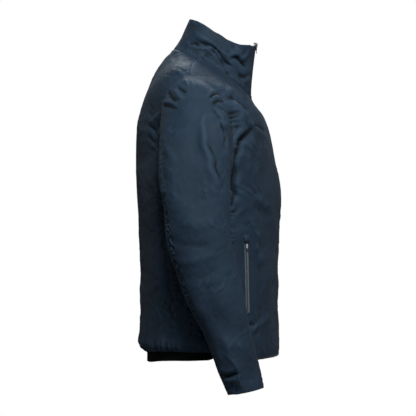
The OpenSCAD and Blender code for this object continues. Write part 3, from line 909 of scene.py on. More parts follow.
@dataclass
class Cloth:
    """A cloth in the making: its outer face as a grid of points.

    Attributes:
        grid: The points, by column and row.
        thick: The cloth's thickness.
        loop: Whether the last column joins the first.
        keep: A number at each point, kept where it is positive.
    """

    grid: Array
    thick: float = SHELL_T
    loop: bool = False
    keep: Array | None = None

    def normals(self) -> Array:
        """Works out the grid's normals.

        Returns:
            The outward normal at each point.
        """
        g = self.grid
        across = np.roll(g, -1, 0) - np.roll(g, 1, 0) if self.loop else np.gradient(g, axis=0)
        return unit(np.cross(np.gradient(g, axis=1), across))

    def from_edge(self, edge: Edge) -> tuple[Array, Array]:
        """The points and normals as lines, counted from an edge.

        Args:
            edge: The edge.

        Returns:
            The points and the normals.
        """
        swap, back = edge in (Edge.FOOT, Edge.HEAD), edge in (Edge.END, Edge.HEAD)
        pair = (np.swapaxes(v, 0, 1) if swap else v for v in (self.grid, self.normals()))
        g, n = (v[::-1] if back else v for v in pair)
        return g, n

    def rolled(self, edge: Edge, turn: Sequence[tuple[float, float]]) -> "Cloth":
        """The cloth with one edge turned in.

        Args:
            edge: The edge that turns.
            turn: How far out and how deep each new line lies, in millimetres.

        Returns:
            The longer cloth.
        """
        g, n = self.from_edge(edge)
        away = unit(g[0] - g[1])
        lines = [g[0] + out * MM * away - depth * MM * n[0] for out, depth in turn]
        grid = np.concatenate([lines[::-1], g])
        back, keep = edge in (Edge.END, Edge.HEAD), self.keep
        grid = grid[::-1] if back else grid
        if keep is not None:
            ahead, after = (0, len(turn)) if back else (len(turn), 0)
            pads = ((0, 0), (ahead, after)) if edge in (Edge.FOOT, Edge.HEAD) else ((ahead, after), (0, 0))
            keep = np.pad(keep, pads, "edge")
        grid = np.swapaxes(grid, 0, 1) if edge in (Edge.FOOT, Edge.HEAD) else grid
        return Cloth(grid, self.thick, self.loop, keep)

    def inset(self, edge: Edge, gap: float) -> tuple[Array, Array]:
        """A line on the cloth beside an edge.

        Args:
            edge: The edge.
            gap: The distance from it.

        Returns:
            The line's points and the cloth's normals there.
        """
        g, n = self.from_edge(edge)
        far = np.concatenate([np.zeros((1, g.shape[1])), np.cumsum(np.linalg.norm(np.diff(g, axis=0), axis=2), 0)])
        k = np.clip((far < gap).sum(0) - 1, 0, len(g) - 2)
        j = np.arange(g.shape[1])
        u = np.clip((gap - far[k, j]) / np.maximum(far[k + 1, j] - far[k, j], 1e-9), 0, 1)[:, None]
        return g[k, j] + u * (g[k + 1, j] - g[k, j]), unit(n[k, j] + u * (n[k + 1, j] - n[k, j]))

    def coordinates(self) -> Array:
        """The cloth's own coordinates.

        Returns:
            Metres across and along the cloth at each point.
        """
        u = np.linalg.norm(np.diff(self.grid, axis=0), axis=2)
        v = np.linalg.norm(np.diff(self.grid, axis=1), axis=2)
        u = np.concatenate([np.zeros((1, u.shape[1])), np.cumsum(u, 0)])
        v = np.concatenate([np.zeros((v.shape[0], 1)), np.cumsum(v, 1)], 1)
        return np.stack([u - u[len(u) // 2], v], -1)

    def hollows(self) -> Array:
        """How far each point lies below the cloth round it, which the cloth's material turns into painted shade and
        highlight.

        Returns:
            Millimetres at each point, less than 0 on a ridge.
        """
        g = self.grid
        total = np.zeros(g.shape)
        for reach in (1, 2, 4):
            for axis in (0, 1):
                for step in (-reach, reach):
                    places = np.arange(g.shape[axis]) + step
                    wraps = self.loop and axis == 0
                    places = places % g.shape[axis] if wraps else np.clip(places, 0, g.shape[axis] - 1)
                    total += (np.take(g, places, axis) - g) / (4 * reach**0.5)
        return np.sum(total * self.normals(), -1) / MM

    def size(self) -> tuple[float, float, float]:
        """The cloth's flat size.

        Returns:
            Its width, length and kept area, turned edges included.
        """
        g = self.grid
        width = float(np.linalg.norm(np.diff(g, axis=0), axis=2).sum(0).max())
        length = float(np.linalg.norm(np.diff(g, axis=1), axis=2).sum(1).max())
        a, b = g[1:, :-1] - g[:-1, :-1], g[:-1, 1:] - g[:-1, :-1]
        c, d = g[1:, :-1] - g[1:, 1:], g[:-1, 1:] - g[1:, 1:]
        cells = (np.linalg.norm(np.cross(a, b), axis=2) + np.linalg.norm(np.cross(c, d), axis=2)) / 2
        if self.keep is not None:
            cells = cells * (self.keep[:-1, :-1] > 0)
        return width, length, float(cells.sum())

    def build(self, name: str) -> Piece:
        """Makes the cloth a closed mesh, with its inner face and its edges.

        Args:
            name: The piece's name.

        Returns:
            The new piece.
        """
        n, m = self.grid.shape[:2]
        outer = self.grid.reshape(-1, 3)
        inner = outer - self.thick * self.normals().reshape(-1, 3)
        uv = np.concatenate([self.coordinates(), self.hollows()[..., None]], -1).reshape(-1, 3)
        i = np.arange(n if self.loop else n - 1)
        j = np.arange(m - 1)
        a = (i[:, None] * m + j).ravel()
        b = (((i + 1) % n)[:, None] * m + j).ravel()
        cells = np.stack([a, a + 1, b + 1, b], 1)
        if self.keep is None:
            quads, triples = cells, np.zeros((0, 3), int)
        else:
            outer, inner, uv, quads, triples = self.trim(cells, outer, inner, uv)
        total = len(outer)
        start = np.concatenate([quads.ravel(), triples.ravel()])
        end = np.concatenate([np.roll(quads, -1, 1).ravel(), np.roll(triples, -1, 1).ravel()])
        rim = ~np.isin(start * total + end, end * total + start)
        s, e = start[rim], end[rim]
        walls = np.stack([e, s, s + total, e + total], 1)
        faces = quads.tolist() + triples.tolist() + (quads[:, ::-1] + total).tolist()
        faces += (triples[:, ::-1] + total).tolist() + walls.tolist()
        points = np.concatenate([outer, inner])
        used = np.zeros(len(points), bool)
        used[np.concatenate([quads.ravel(), triples.ravel()])] = True
        used[total:] = used[:total]
        number = np.cumsum(used) - 1
        faces = [[int(number[v]) for v in f] for f in faces]
        return mesh_piece(name, points[used], faces, np.concatenate([uv, uv])[used])

    def trim(self, cells: Array, outer: Array, inner: Array, uv: Array) -> tuple[Array, Array, Array, Array, Array]:
        """Cuts the cells along the line where keep is nothing.

        Args:
            cells: The grid's cells, as four point numbers each.
            outer: The outer face's points.
            inner: The inner face's points.
            uv: The cloth's own coordinates.

        Returns:
            The three lists with the cut's points added, then the whole cells and the triangles.
        """
        keep = self.keep.ravel()
        inside = keep[cells] > 0
        whole, mixed = cells[inside.all(1)], cells[inside.any(1) & ~inside.all(1)]
        cuts: dict[tuple[int, int], int] = {}
        pairs: list[tuple[int, int, float]] = []
        triples: list[tuple[int, int, int]] = []
        for cell in mixed.tolist():
            shape: list[int] = []
            for p, q in zip(cell, cell[1:] + cell[:1]):
                if keep[p] > 0:
                    shape.append(p)
                if (keep[p] > 0) != (keep[q] > 0):
                    key = (min(p, q), max(p, q))
                    if key not in cuts:
                        share = keep[key[0]] / (keep[key[0]] - keep[key[1]])
                        cuts[key] = len(outer) + len(pairs)
                        pairs.append((*key, float(np.clip(share, 0.02, 0.98))))
                    shape.append(cuts[key])
            triples += [(shape[0], shape[k], shape[k + 1]) for k in range(1, len(shape) - 1)]
        a, b = (np.array([p[k] for p in pairs], int) for k in (0, 1))
        share = np.array([p[2] for p in pairs])[:, None]
        longer = [np.concatenate([v, v[a] + share * (v[b] - v[a])]) for v in (outer, inner, uv)]
        return (*longer, whole, np.array(triples, int).reshape(-1, 3))


class Value:
    """A number in a material. Python's operators on it add Math nodes."""

    def __init__(self, graph: "Graph", socket: bpy.types.NodeSocket) -> None:
        """Wraps an output socket of a graph."""
        self.graph, self.socket = graph, socket

    def maths(self, operation: str, *others: "Value | float", flip: bool = False) -> "Value":
        """A Math node's result.

        Args:
            operation: What the node does.
            others: The values after this one.
            flip: Whether this value comes last instead of first.

        Returns:
            The result, as a value.
        """
        parts = [self, *others]
        inputs = dict(enumerate(reversed(parts) if flip else parts))
        return self.graph.value("ShaderNodeMath", {"operation": operation}, inputs)

    def __add__(self, other: "Value | float") -> "Value":
        """This value plus another."""
        return self.maths("ADD", other)

    __radd__ = __add__

    def __sub__(self, other: "Value | float") -> "Value":
        """This value less another."""
        return self.maths("SUBTRACT", other)

    def __rsub__(self, other: "Value | float") -> "Value":
        """Another value less this one."""
        return self.maths("SUBTRACT", other, flip=True)

    def __mul__(self, other: "Value | float") -> "Value":
        """This value times another."""
        return self.maths("MULTIPLY", other)

    __rmul__ = __mul__

    def sine(self) -> "Value":
        """The sine of this value."""
        return self.maths("SINE")

    def ramp(self, low: float, high: float) -> "Value":
        """A smooth step.

        Args:
            low: Where it is 0.
            high: Where it is 1.

        Returns:
            The step, as a value.
        """
        settings = {"interpolation_type": "SMOOTHSTEP", "clamp": True}
        inputs = {"Value": self, "From Min": low, "From Max": high, "To Min": 0.0, "To Max": 1.0}
        return self.graph.value("ShaderNodeMapRange", settings, inputs)


Input = Value | float | tuple | bpy.types.NodeSocket


class Graph:
    """A material's nodes in the making."""

    def __init__(self, name: str) -> None:
        """Makes an empty material.

        Args:
            name: Its name.
        """
        self.material = bpy.data.materials.new(name)
        self.material.use_nodes = True
        self.tree = self.material.node_tree
        self.tree.nodes.clear()
        self.places = self.node("ShaderNodeTexCoord")

    def node(self, kind: str, settings: dict | None = None, inputs: dict | None = None) -> bpy.types.Node:
        """A node with its settings, then its sockets, filled in.

        Args:
            kind: The node's type.
            settings: Its properties.
            inputs: Its sockets by name or number, as values or links.

        Returns:
            The new node.
        """
        made = self.tree.nodes.new(kind)
        for key, value in (settings or {}).items():
            setattr(made, key, value)
        for key, value in (inputs or {}).items():
            self.link(made.inputs[key], value)
        return made

    def link(self, socket: bpy.types.NodeSocket, value: Input) -> None:
        """Sets a socket, or links it if the value is one.

        Args:
            socket: The socket.
            value: A number, a colour, a value or another socket.
        """
        if isinstance(value, Value):
            value = value.socket
        if isinstance(value, bpy.types.NodeSocket):
            self.tree.links.new(value, socket)
        else:
            socket.default_value = value

    def value(
        self, kind: str, settings: dict | None = None, inputs: dict | None = None, output: str | int = 0
    ) -> Value:
        """One output of a new node, as a value."""
        return Value(self, self.node(kind, settings, inputs).outputs[output])

    def noise(self, scale: float, detail: float = 3.0, uv: bool = False, rough: float = 0.5) -> Value:
        """Cloudy noise.

        Args:
            scale: Its cycles in a metre.
            detail: How many finer layers it has.
            uv: Whether it follows the cloth's own coordinates.
            rough: How strong the finer layers are.

        Returns:
            A value from 0 to 1.
        """
        place = self.places.outputs["UV" if uv else "Object"]
        return self.value(
            "ShaderNodeTexNoise", {}, {"Vector": place, "Scale": scale, "Detail": detail, "Roughness": rough}
        )

    def mix(self, share: Input, first: Input, second: Input) -> bpy.types.NodeSocket:
        """A colour between two others.

        Args:
            share: How much of the second there is, from 0 to 1.
            first: The first colour.
            second: The second colour.

        Returns:
            The mixed colour's socket.
        """
        made = self.node("ShaderNodeMix", {"data_type": "RGBA"})
        self.link(made.inputs[0], share)
        self.link(made.inputs[6], first)
        self.link(made.inputs[7], second)
        return made.outputs[2]

    def bump(self, height: Value, distance: float, strength: float = 1.0) -> bpy.types.NodeSocket:
        """A normal from a height between 0 and 1, and the distance that 1 stands for."""
        inputs = {"Strength": strength, "Distance": distance, "Height": height}
        return self.node("ShaderNodeBump", {}, inputs).outputs[0]

    def surface(self, inputs: dict) -> bpy.types.Material:
        """Ends the material in a Principled shader.

        Args:
            inputs: The shader's sockets by name, as values or links.

        Returns:
            The finished material.
        """
        shader = self.node("ShaderNodeBsdfPrincipled", {}, inputs)
        out = self.node("ShaderNodeOutputMaterial")
        self.tree.links.new(shader.outputs[0], out.inputs["Surface"])
        return self.material


class Weave(Enum):
    """How a cloth's threads run."""

    PLAIN = "plain"
    TWILL = "twill"
    RIB = "rib"
    BRUSHED = "brushed"


Colour = tuple[float, float, float, float]


@dataclass(frozen=True)
class ClothFinish:
    """A woven or knitted cloth.

    Attributes:
        dark: The colour between threads, and the base of the painted shade in creases and hollows.
        light: The colour of the threads, and the base of the painted highlight on ridges.
        weave: How the threads run.
        pitch_mm: The distance between threads.
        relief_mm: How far the threads stand out.
        crinkle_mm: How far the fine crinkles stand out.
    """

    name: str
    slot: str
    dark: Colour
    light: Colour
    roughness: float = 0.6
    weave: Weave = Weave.PLAIN
    pitch_mm: float = 0.5
    relief_mm: float = 0.06
    crinkle_mm: float = 0.25
    sheen: float = 0.1
    gloss: float = 0.4

    def threads(self, g: Graph) -> Value:
        """The threads' height.

        Args:
            g: The material in the making.

        Returns:
            A value from 0 to 1.
        """
        if self.weave is Weave.BRUSHED:
            return g.noise(900, 4, rough=0.7)
        k = 2 * math.pi / (self.pitch_mm * MM)
        parts = g.node("ShaderNodeSeparateXYZ", {}, {0: g.places.outputs["UV"]})
        u, v = Value(g, parts.outputs[0]), Value(g, parts.outputs[1])
        if self.weave is Weave.RIB:
            return (u * k).sine() * 0.5 + 0.5
        if self.weave is Weave.TWILL:
            return ((u + v) * k).sine() * 0.35 + (v * (k * 2)).sine() * 0.15 + 0.5
        return (u * k).sine() * (v * k).sine() * 0.5 + 0.5

    def material(self) -> bpy.types.Material:
        """Makes the material, once.

        Returns:
            The finish's material.
        """
        if self.name in bpy.data.materials:
            return bpy.data.materials[self.name]
        g = Graph(self.name)
        threads = self.threads(g)
        cloud, fleck = g.noise(11, 3), g.noise(260, 2)
        crinkle = g.noise(95, 4, rough=0.55)
        share = (cloud.ramp(0.3, 0.7) * 0.5 + fleck * 0.3 + threads * 0.2).ramp(0.05, 0.95)
        fine = g.bump(threads, self.relief_mm * MM, 0.7)
        normal = g.node(
            "ShaderNodeBump", {},
            {"Strength": 1.0, "Distance": self.crinkle_mm * MM, "Height": crinkle, "Normal": fine},
        ).outputs[0]
        # Painted light: each point's hollow depth paints shade into creases and a highlight onto ridges.
        hollow = g.value("ShaderNodeAttribute", {"attribute_name": HOLLOW, "attribute_type": "GEOMETRY"}, output="Fac")
        colour = g.mix(share, self.dark, self.light)
        # Painted highlight: ridges are lightened towards 1.7 times the thread colour.
        colour = g.mix((hollow * -1.0).ramp(0.25, 1.7) * 0.4, colour, (*(1.7 * c for c in self.light[:3]), 1))
        # Painted shade: creases and hollows are darkened towards a fifth of the dark colour.
        colour = g.mix(hollow.ramp(0.28, 1.9) * 0.88, colour, (*(0.2 * c for c in self.dark[:3]), 1))
        return g.surface({
            "Base Color": colour,
            "Roughness": (cloud - 0.5) * 0.16 + (fleck - 0.5) * 0.1 + self.roughness,
            "Specular IOR Level": self.gloss,
            "Specular Tint": SPECULAR_TINT,
            "Sheen Weight": self.sheen,
            "Sheen Roughness": 0.45,
            "Normal": normal,
        })


@dataclass(frozen=True)
class HardFinish:
    """A moulded plastic or painted metal, worn at its edges."""

    name: str
    slot: str
    body: Colour
    worn: Colour
    roughness: float = 0.4
    metallic: float = 0.0

    def material(self) -> bpy.types.Material:
        """Makes the material, once.

        Returns:
            The finish's material.
        """
        if self.name in bpy.data.materials:
            return bpy.data.materials[self.name]
        g = Graph(self.name)
        edge = g.value("ShaderNodeNewGeometry", output="Pointiness").ramp(0.54, 0.68)
        speck, grain = g.noise(700, 3), g.noise(4200, 2)
        rub = edge * speck.ramp(0.35, 0.6)
        return g.surface({
            "Base Color": g.mix(rub, self.body, self.worn),
            "Metallic": rub * self.metallic,
            "Roughness": (speck - 0.5) * 0.2 + self.roughness - rub * 0.1,
            "Normal": g.bump(grain, 0.02 * MM, 0.5),
        })


SHELL = ClothFinish(
    "shell_nylon", "shell_cloth", (0.0118, 0.0232, 0.0400, 1), (0.0185, 0.0342, 0.0570, 1),
    roughness=0.66, pitch_mm=0.6, relief_mm=0.05, crinkle_mm=0.55, sheen=0.02, gloss=0.24,
)
BINDING = ClothFinish(
    "hem_edging", "elastic", (0.005, 0.006, 0.008, 1), (0.011, 0.013, 0.016, 1),
    roughness=0.7, weave=Weave.RIB, pitch_mm=0.9, relief_mm=0.1, crinkle_mm=0.1,
)
ELASTIC = ClothFinish(
    "rib_elastic", "elastic", (0.0028, 0.0027, 0.0025, 1), (0.0060, 0.0058, 0.0053, 1),
    roughness=0.9, weave=Weave.TWILL, pitch_mm=0.8, relief_mm=0.1, crinkle_mm=0.12, sheen=0.01, gloss=0.08,
)
FLEECE = ClothFinish(
    "collar_fleece", "collar_fleece", (0.005, 0.006, 0.009, 1), (0.016, 0.019, 0.026, 1),
    roughness=0.9, weave=Weave.BRUSHED, pitch_mm=1.0, relief_mm=0.35, crinkle_mm=0.3, sheen=0.25, gloss=0.2,
)
TAFFETA = ClothFinish(
    "lining_taffeta", "lining_cloth", (0.006, 0.007, 0.010, 1), (0.012, 0.014, 0.019, 1),
    roughness=0.45, pitch_mm=0.4, relief_mm=0.04, crinkle_mm=0.4, sheen=0.05, gloss=0.45,
)
LOOP_TAPE = ClothFinish(
    "loop_webbing", "loop_tape", (0.007, 0.009, 0.012, 1), (0.015, 0.018, 0.024, 1),
    roughness=0.7, weave=Weave.TWILL, pitch_mm=0.9, relief_mm=0.12, crinkle_mm=0.1,
)
ZIP_TAPE = ClothFinish(
    "zip_tape", "zip_tape", (0.006, 0.007, 0.010, 1), (0.012, 0.014, 0.018, 1),
    roughness=0.72, weave=Weave.TWILL, pitch_mm=0.8, relief_mm=0.1, crinkle_mm=0.05,
)
POCKET_TAPE = ClothFinish(
    "pocket_zip_tape", "pocket_zip_tape", (0.040, 0.052, 0.048, 1), (0.070, 0.086, 0.080, 1),
    roughness=0.7, weave=Weave.TWILL, pitch_mm=0.8, relief_mm=0.1, crinkle_mm=0.05,
)
THREAD = ClothFinish(
    "topstitch_thread", "shell_cloth", (0.012, 0.021, 0.036, 1), (0.022, 0.036, 0.060, 1),
    roughness=0.5, weave=Weave.TWILL, pitch_mm=0.3, relief_mm=0.05, crinkle_mm=0.02,
)
TEETH = HardFinish("zip_teeth", "zip_teeth", (0.006, 0.006, 0.007, 1), (0.022, 0.023, 0.025, 1), 0.55)
COIL = HardFinish("pocket_coil", "pocket_zip_teeth", (0.085, 0.105, 0.098, 1), (0.14, 0.165, 0.155, 1), 0.5)
BLACK_METAL = HardFinish("black_metal", "black_metal", (0.006, 0.006, 0.007, 1), (0.035, 0.035, 0.038, 1), 0.52, 0.5)
PULL_BLACK = HardFinish("puller_black", "puller_black", (0.006, 0.006, 0.007, 1), (0.024, 0.024, 0.027, 1), 0.48)
PULL_GREY = HardFinish("puller_grey", "puller_grey", (0.30, 0.32, 0.32, 1), (0.42, 0.44, 0.44, 1), 0.5)

Finish = ClothFinish | HardFinish


def dress(piece: Piece, finish: Finish, body: str | None = None, nodes: Sequence[str] = ()) -> Piece:
    """Gives a piece its material, its body and the nodes it stands for.

    Args:
        piece: The piece.
        finish: Its finish.
        body: The body that it rides on, or None if it rides on none.
        nodes: The nodes that it replaces.

    Returns:
        The piece.
    """
    piece.data.materials.clear()
    piece.data.materials.append(finish.material())
    if nodes:
        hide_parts(*nodes)
    if body:
        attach(piece, body)
    log.info("%s: %d faces", piece.name, len(piece.data.polygons))
    return piece


def declare(piece: Piece, cloth: Cloth) -> None:
    """Works out a cloth piece's flat size, with its turned edges, and keeps nothing of it.

    Args:
        piece: The piece; not used.
        cloth: The cloth that it was built from.
    """
    width, length, area = cloth.size()


def stitches(name: str, line: Array, normals: Array, length_mm: float = 2.6, pitch_mm: float = 3.5) -> Piece:
    """A row of thread stitches lying on cloth.

    Args:
        name: The piece's name.
        line: The points of the row.
        normals: The cloth's normals there.
        length_mm: One stitch's length.
        pitch_mm: The distance from one to the next.

    Returns:
        The new piece.
    """
    far = lengths(line)
    middle = np.arange(pitch_mm * MM, far[-1] - pitch_mm * MM, pitch_mm * MM)
    centre, out = read_at(far, line, middle), unit(read_at(far, normals, middle))
    half = length_mm * MM / 2
    along = unit(read_at(far, line, middle + half) - read_at(far, line, middle - half))
    across = np.cross(along, out)
    thread = 0.26 * MM
    corners = [
        -half * along, thread * (across - 0.3 * out), 1.5 * thread * out,
        -thread * (across + 0.3 * out), -0.8 * thread * out, half * along,
    ]
    points = np.stack([centre + 0.1 * thread * out + c for c in corners], 1).reshape(-1, 3)
    faces = []
    for o in range(0, len(points), len(corners)):
        ring = [o + 1, o + 2, o + 3, o + 4]
        faces += [(o, ring[(q + 1) % 4], ring[q]) for q in range(4)]
        faces += [(o + 5, ring[q], ring[(q + 1) % 4]) for q in range(4)]
    uv = np.repeat(middle, len(corners))[:, None] * np.array([[1.0, 0.0]])
    return mesh_piece(name, points, faces, uv, 80)


def sew(name: str, cloth: Cloth, edge: Edge, gap_mm: float) -> Piece:
    """Sews a row of stitches beside a cloth's edge, on the torso."""
    return dress(stitches(name, *cloth.inset(edge, gap_mm * MM)), THREAD, "torso")


def swept_ring(name: str, path: Array, outward: Array, up: Array, section_mm: Line) -> Piece:
    """A closed strip round a closed path.

    Args:
        name: The piece's name.
        path: The path's points.
        outward: The way out of the loop at each point.
        up: The way off the cloth at each point.
        section_mm: The section's corners: out and up.

    Returns:
        The new piece.
    """
    n, m = len(path), len(section_mm)
    section = np.array(section_mm) * MM
    points = path[:, None] + section[None, :, :1] * outward[:, None] + section[None, :, 1:] * up[:, None]
    faces = [
        (i * m + j, i * m + (j + 1) % m, (i + 1) % n * m + (j + 1) % m, (i + 1) % n * m + j)
        for i in range(n) for j in range(m)
    ]
    uv = np.stack(np.broadcast_arrays(section[None, :, 0] + section[None, :, 1], lengths(path)[:, None]), -1)
    piece = mesh_piece(name, points.reshape(-1, 3), faces, uv.reshape(-1, 2), 60)
    edit_all(piece)
    bpy.ops.mesh.normals_make_consistent(inside=False)
    bpy.ops.object.mode_set(mode="OBJECT")
    return piece


def ahead(side: Side) -> Edge:
    """The edge of a side's panel that is nearer the front zip."""
    return Edge.START if side is Side.RIGHT else Edge.END


def behind(side: Side) -> Edge:
    """The edge of a side's panel that is nearer the back."""
    return Edge.END if side is Side.RIGHT else Edge.START


@dataclass(frozen=True)
class PanelEdge:
    """A panel's edge on the torso.

    Attributes:
        angle: Its angle in degrees, if it follows a seam.
        gap: Its distance from the front middle, if it follows the zip.
        shoulder: Whether it turns to the shoulder seam above the armpit.
        far: Whether it lies on the other half.
    """

    angle: float = 0.0
    gap: float = 0.0
    shoulder: bool = False
    far: bool = False

    def at(self, t: Array) -> Array:
        """The edge's angle at each row.

        Args:
            t: Row numbers.

        Returns:
            One angle for each row.
        """
        if self.gap:
            return BODY.angle_at(self.gap, t)
        a = np.full_like(t, self.angle)
        if self.shoulder:
            a = self.angle + (SHOULDER_SEAM - self.angle) * np.clip(t - ARMPIT_ROW, 0, 1)
        return 360 - a if self.far else a


@dataclass
class Torso:
    """The body's panels, linings, hem and stitching.

    Attributes:
        ring_share: How far the panels reach under the sleeve heads.
        flank_row: The top row of the side panels.
        lining_depth: How far the linings lie below the outer face.
        relief: How its cloth folds.
        faces: Each side's outer cloths.
    """

    ring_share: float = 0.991
    flank_row: float = 6.3
    lining_depth: float = 11 * MM
    relief: BodyRelief = field(default_factory=BodyRelief)
    faces: dict[Side, list[Cloth]] = field(default_factory=dict)

    def cloth(
        self, side: Side, first: PanelEdge, last: PanelEdge, low: float, high: float, depth: float = 0.0,
        pitch: float = CLOTH_PITCH, share: float = 1.0, thick: float = SHELL_T, ring: float | None = None,
        pocket: bool = False,
    ) -> Cloth:
        """A cloth on the torso between two edges.

        Args:
            side: The half that the angles are read on.
            first: The first edge.
            last: The last edge.
            low: The lowest row.
            high: The highest row.
            depth: The depth below the outer face.
            pitch: The size of its cells.
            share: How much it follows the outer cloth's folds.
            thick: Its thickness.
            ring: The share of the armhole's outline outside which it is kept.
            pocket: Whether the pocket's window is cut in it.

        Returns:
            The cloth, with its edges not yet turned.
        """
        probe = np.array([min(4.0, (low + high) / 2)])
        from_a, to_a = float(first.at(probe)[0]), float(last.at(probe)[0])
        t = BODY.even_rows([from_a, (from_a + to_a) / 2, to_a], low, high, pitch)
        shares = BODY.even_shares(from_a, to_a, float(probe[0]), pitch)
        a = first.at(t)[None] + (last.at(t) - first.at(t))[None] * shares[:, None]
        rows = np.broadcast_to(t, a.shape)
        p, n, h = self.relief.shift(side, a, rows)
        grid = p + (h * share - depth)[..., None] * n
        if depth < 2 * MM:
            grid = self.relief.flatten(grid)
        grid[..., 2] += self.relief.lift(grid)
        keep = None
        right = np.where(grid[..., :1] > 0, grid * TO_RIGHT, grid)
        if ring:
            keep = (ARMHOLE.share(right) - ring) * 0.1
        if pocket:
            q = POCKET.local(right.reshape(-1, 3)).reshape(right.shape)
            window = np.maximum(np.abs(q[..., 0]) - 6.2 * MM, np.abs(q[..., 2]) - POCKET.length / 2 - 3 * MM)
            window = np.where(np.abs(q[..., 1]) < 30 * MM, window, 1.0)
            keep = np.minimum(keep, window) if keep is not None else window
        if side is Side.LEFT:
            grid, keep = grid[::-1], None if keep is None else keep[::-1]
        return Cloth(grid, thick, keep=keep)

    def build(self) -> None:
        """Builds every cloth of the torso."""
        ring = self.ring_share
        edges = (PanelEdge(BACK_SEAM, shoulder=True), PanelEdge(BACK_SEAM, shoulder=True, far=True))
        back = self.cloth(Side.RIGHT, *edges, 0, NECK_ROW, ring=ring)
        self.show("back_shell", back, (Edge.START, Edge.END), ("back_panel",), 24)
        for side in Side:
            word = side.value
            edges = (PanelEdge(gap=FRONT_GAP), PanelEdge(FRONT_SEAM, shoulder=True))
            front = self.cloth(side, *edges, 0, NECK_ROW, ring=ring, pocket=True)
            flank = self.cloth(side, PanelEdge(FRONT_SEAM), PanelEdge(BACK_SEAM), 0, self.flank_row, ring=ring)
            self.faces[side] = [front, flank, back]
            self.show(f"{word}_front_shell", front, (behind(side),), (f"{word}_front_panel",), 20, ahead(side))
            self.show(f"{word}_side_shell", flank, (Edge.START, Edge.END), (f"{word}_side_panel",), 24)
            self.edges(side, front)
        self.linings()
        self.band()

    def show(
        self, name: str, cloth: Cloth, seams: Sequence[Edge], nodes: Sequence[str], hem_mm: float,
        placket: Edge | None = None,
    ) -> None:
        """Turns a panel's edges in, builds it and sews its stitch rows.

        Args:
            name: The panel's name.
            cloth: Its outer face.
            seams: The edges that are sewn to other panels.
            nodes: The nodes that it replaces.
            hem_mm: The hem stitches' distance from the hem.
            placket: The edge beside the zip, if it has one.
        """
        made = cloth
        for edge in seams:
            made = made.rolled(edge, SEAM_TURN)
        if placket:
            made = made.rolled(placket, PLACKET_TURN)
            sew(f"{name}_placket_stitches", cloth, placket, 13)
        made = made.rolled(Edge.HEAD, SEAM_TURN).rolled(Edge.FOOT, HEM_TURN)
        piece = dress(made.build(name), SHELL, "torso", nodes)
        declare(piece, made)
        for k, edge in enumerate(seams):
            line, normals = cloth.inset(edge, 2.6 * MM)
            clear = ARMHOLE.share(np.where(line[:, :1] > 0, line * TO_RIGHT, line)) > 1.02
            low = clear & (line[:, 2] < -0.2)
            if low.sum() > 8:
                dress(stitches(f"{name}_seam_stitches_{k + 1}", line[low], normals[low]), THREAD, "torso")
        sew(f"{name}_hem_stitches", cloth, Edge.FOOT, hem_mm)
        if not name.endswith("side_shell"):
            sew(f"{name}_neck_stitches", cloth, Edge.HEAD, 4.5)

    def edges(self, side: Side, front: Cloth) -> None:
        """Builds the front hem's facing and its bound edge.

        Args:
            side: The wearer's side.
            front: The front panel's outer face.
        """
        word = side.value
        facing = self.cloth(
            side, PanelEdge(gap=16 * MM), PanelEdge(FRONT_SEAM - 1), 0.06, 1.4, 3.1 * MM, 5 * MM, thick=0.6 * MM
        )
        piece = dress(facing.build(f"{word}_hem_turning"), SHELL, "torso", (f"{word}_hem_facing",))
        declare(piece, facing)
        edging = Cloth(front.rolled(Edge.FOOT, EDGING_TURN).grid[:, : len(EDGING_TURN)], 0.35 * MM)
        dress(edging.build(f"{word}_hem_edging"), BINDING, "torso", (f"{word}_hem_binding",))

    def linings(self) -> None:
        """Builds the body's linings, well inside the shell."""
        side_edge, front_edge = PanelEdge(SHOULDER_SEAM), PanelEdge(gap=14 * MM)
        for word, side, first, last in (
            ("back", Side.RIGHT, side_edge, PanelEdge(SHOULDER_SEAM, far=True)),
            ("right", Side.RIGHT, front_edge, side_edge),
            ("left", Side.LEFT, front_edge, side_edge),
        ):
            cloth = self.cloth(side, first, last, 0.5, 10.6, self.lining_depth, 8 * MM, 0.7, LINING_T, 1.0)
            node = "back_lining" if word == "back" else f"{word}_front_lining"
            declare(dress(cloth.build(f"{word}_inner_lining"), TAFFETA, "torso", (node,)), cloth)

    def band(self) -> None:
        """Builds the ribbed elastic band under the hem, which hangs lowest at the back."""
        first, last = FRONT_SEAM + 4, 356 - FRONT_SEAM
        shares = BODY.even_shares(first, last, 0, 0.62 * MM)
        a = first + (last - first) * shares
        back = -np.cos(np.radians(a))
        drop = (2 + 16 * smooth(back, -0.21, 0.0) + 7 * np.maximum(back, 0)) * MM
        rows, depths = (0.0, 0.15, 0.4, 0.7, 1.0), (3.4, 3.6, 3.8, 3.9, 4.0)
        lines = [BODY.inside(a, r, d * MM) for r, d in zip(rows, depths)]
        foot = lines[0]
        hang = [foot - drop[:, None] * np.array([0, 0, u]) for u in (1.0, 0.97, 0.8, 0.6, 0.4, 0.2)]
        grid = np.stack(hang + lines, 1)
        grid[..., 2] += self.relief.lift(grid)
        thick, rib_pitch, far = 1.5 * MM, 2.5 * MM, lengths(foot)
        rib = 0.22 * MM * np.sin(2 * math.pi * far / rib_pitch)[:, None] * np.array([0.2, 0.5] + [1.0] * 9)
        wave = 0.7 * MM * np.sin(far * 95 + 1)[:, None] * np.linspace(1, 0, 11)
        cloth = Cloth(grid + (rib + wave)[..., None] * Cloth(grid).normals(), thick)
        declare(dress(cloth.build("hem_elastic"), ELASTIC, "torso", ("hem_band",)), cloth)

    def tree(self, side: Side) -> BVHTree:
        """Makes a tree of the side's outer faces, to find where a point lies on them.

        Args:
            side: The wearer's side.

        Returns:
            The tree.
        """
        points: list[list[float]] = []
        quads: list[list[int]] = []
        for cloth in self.faces[side]:
            n, m = cloth.grid.shape[:2]
            base = len(points)
            points += cloth.grid.reshape(-1, 3).tolist()
            a = (np.arange(n - 1)[:, None] * m + np.arange(m - 1)).ravel() + base
            quads += np.stack([a, a + 1, a + m + 1, a + m], 1).tolist()
        return BVHTree.FromPolygons(points, quads)

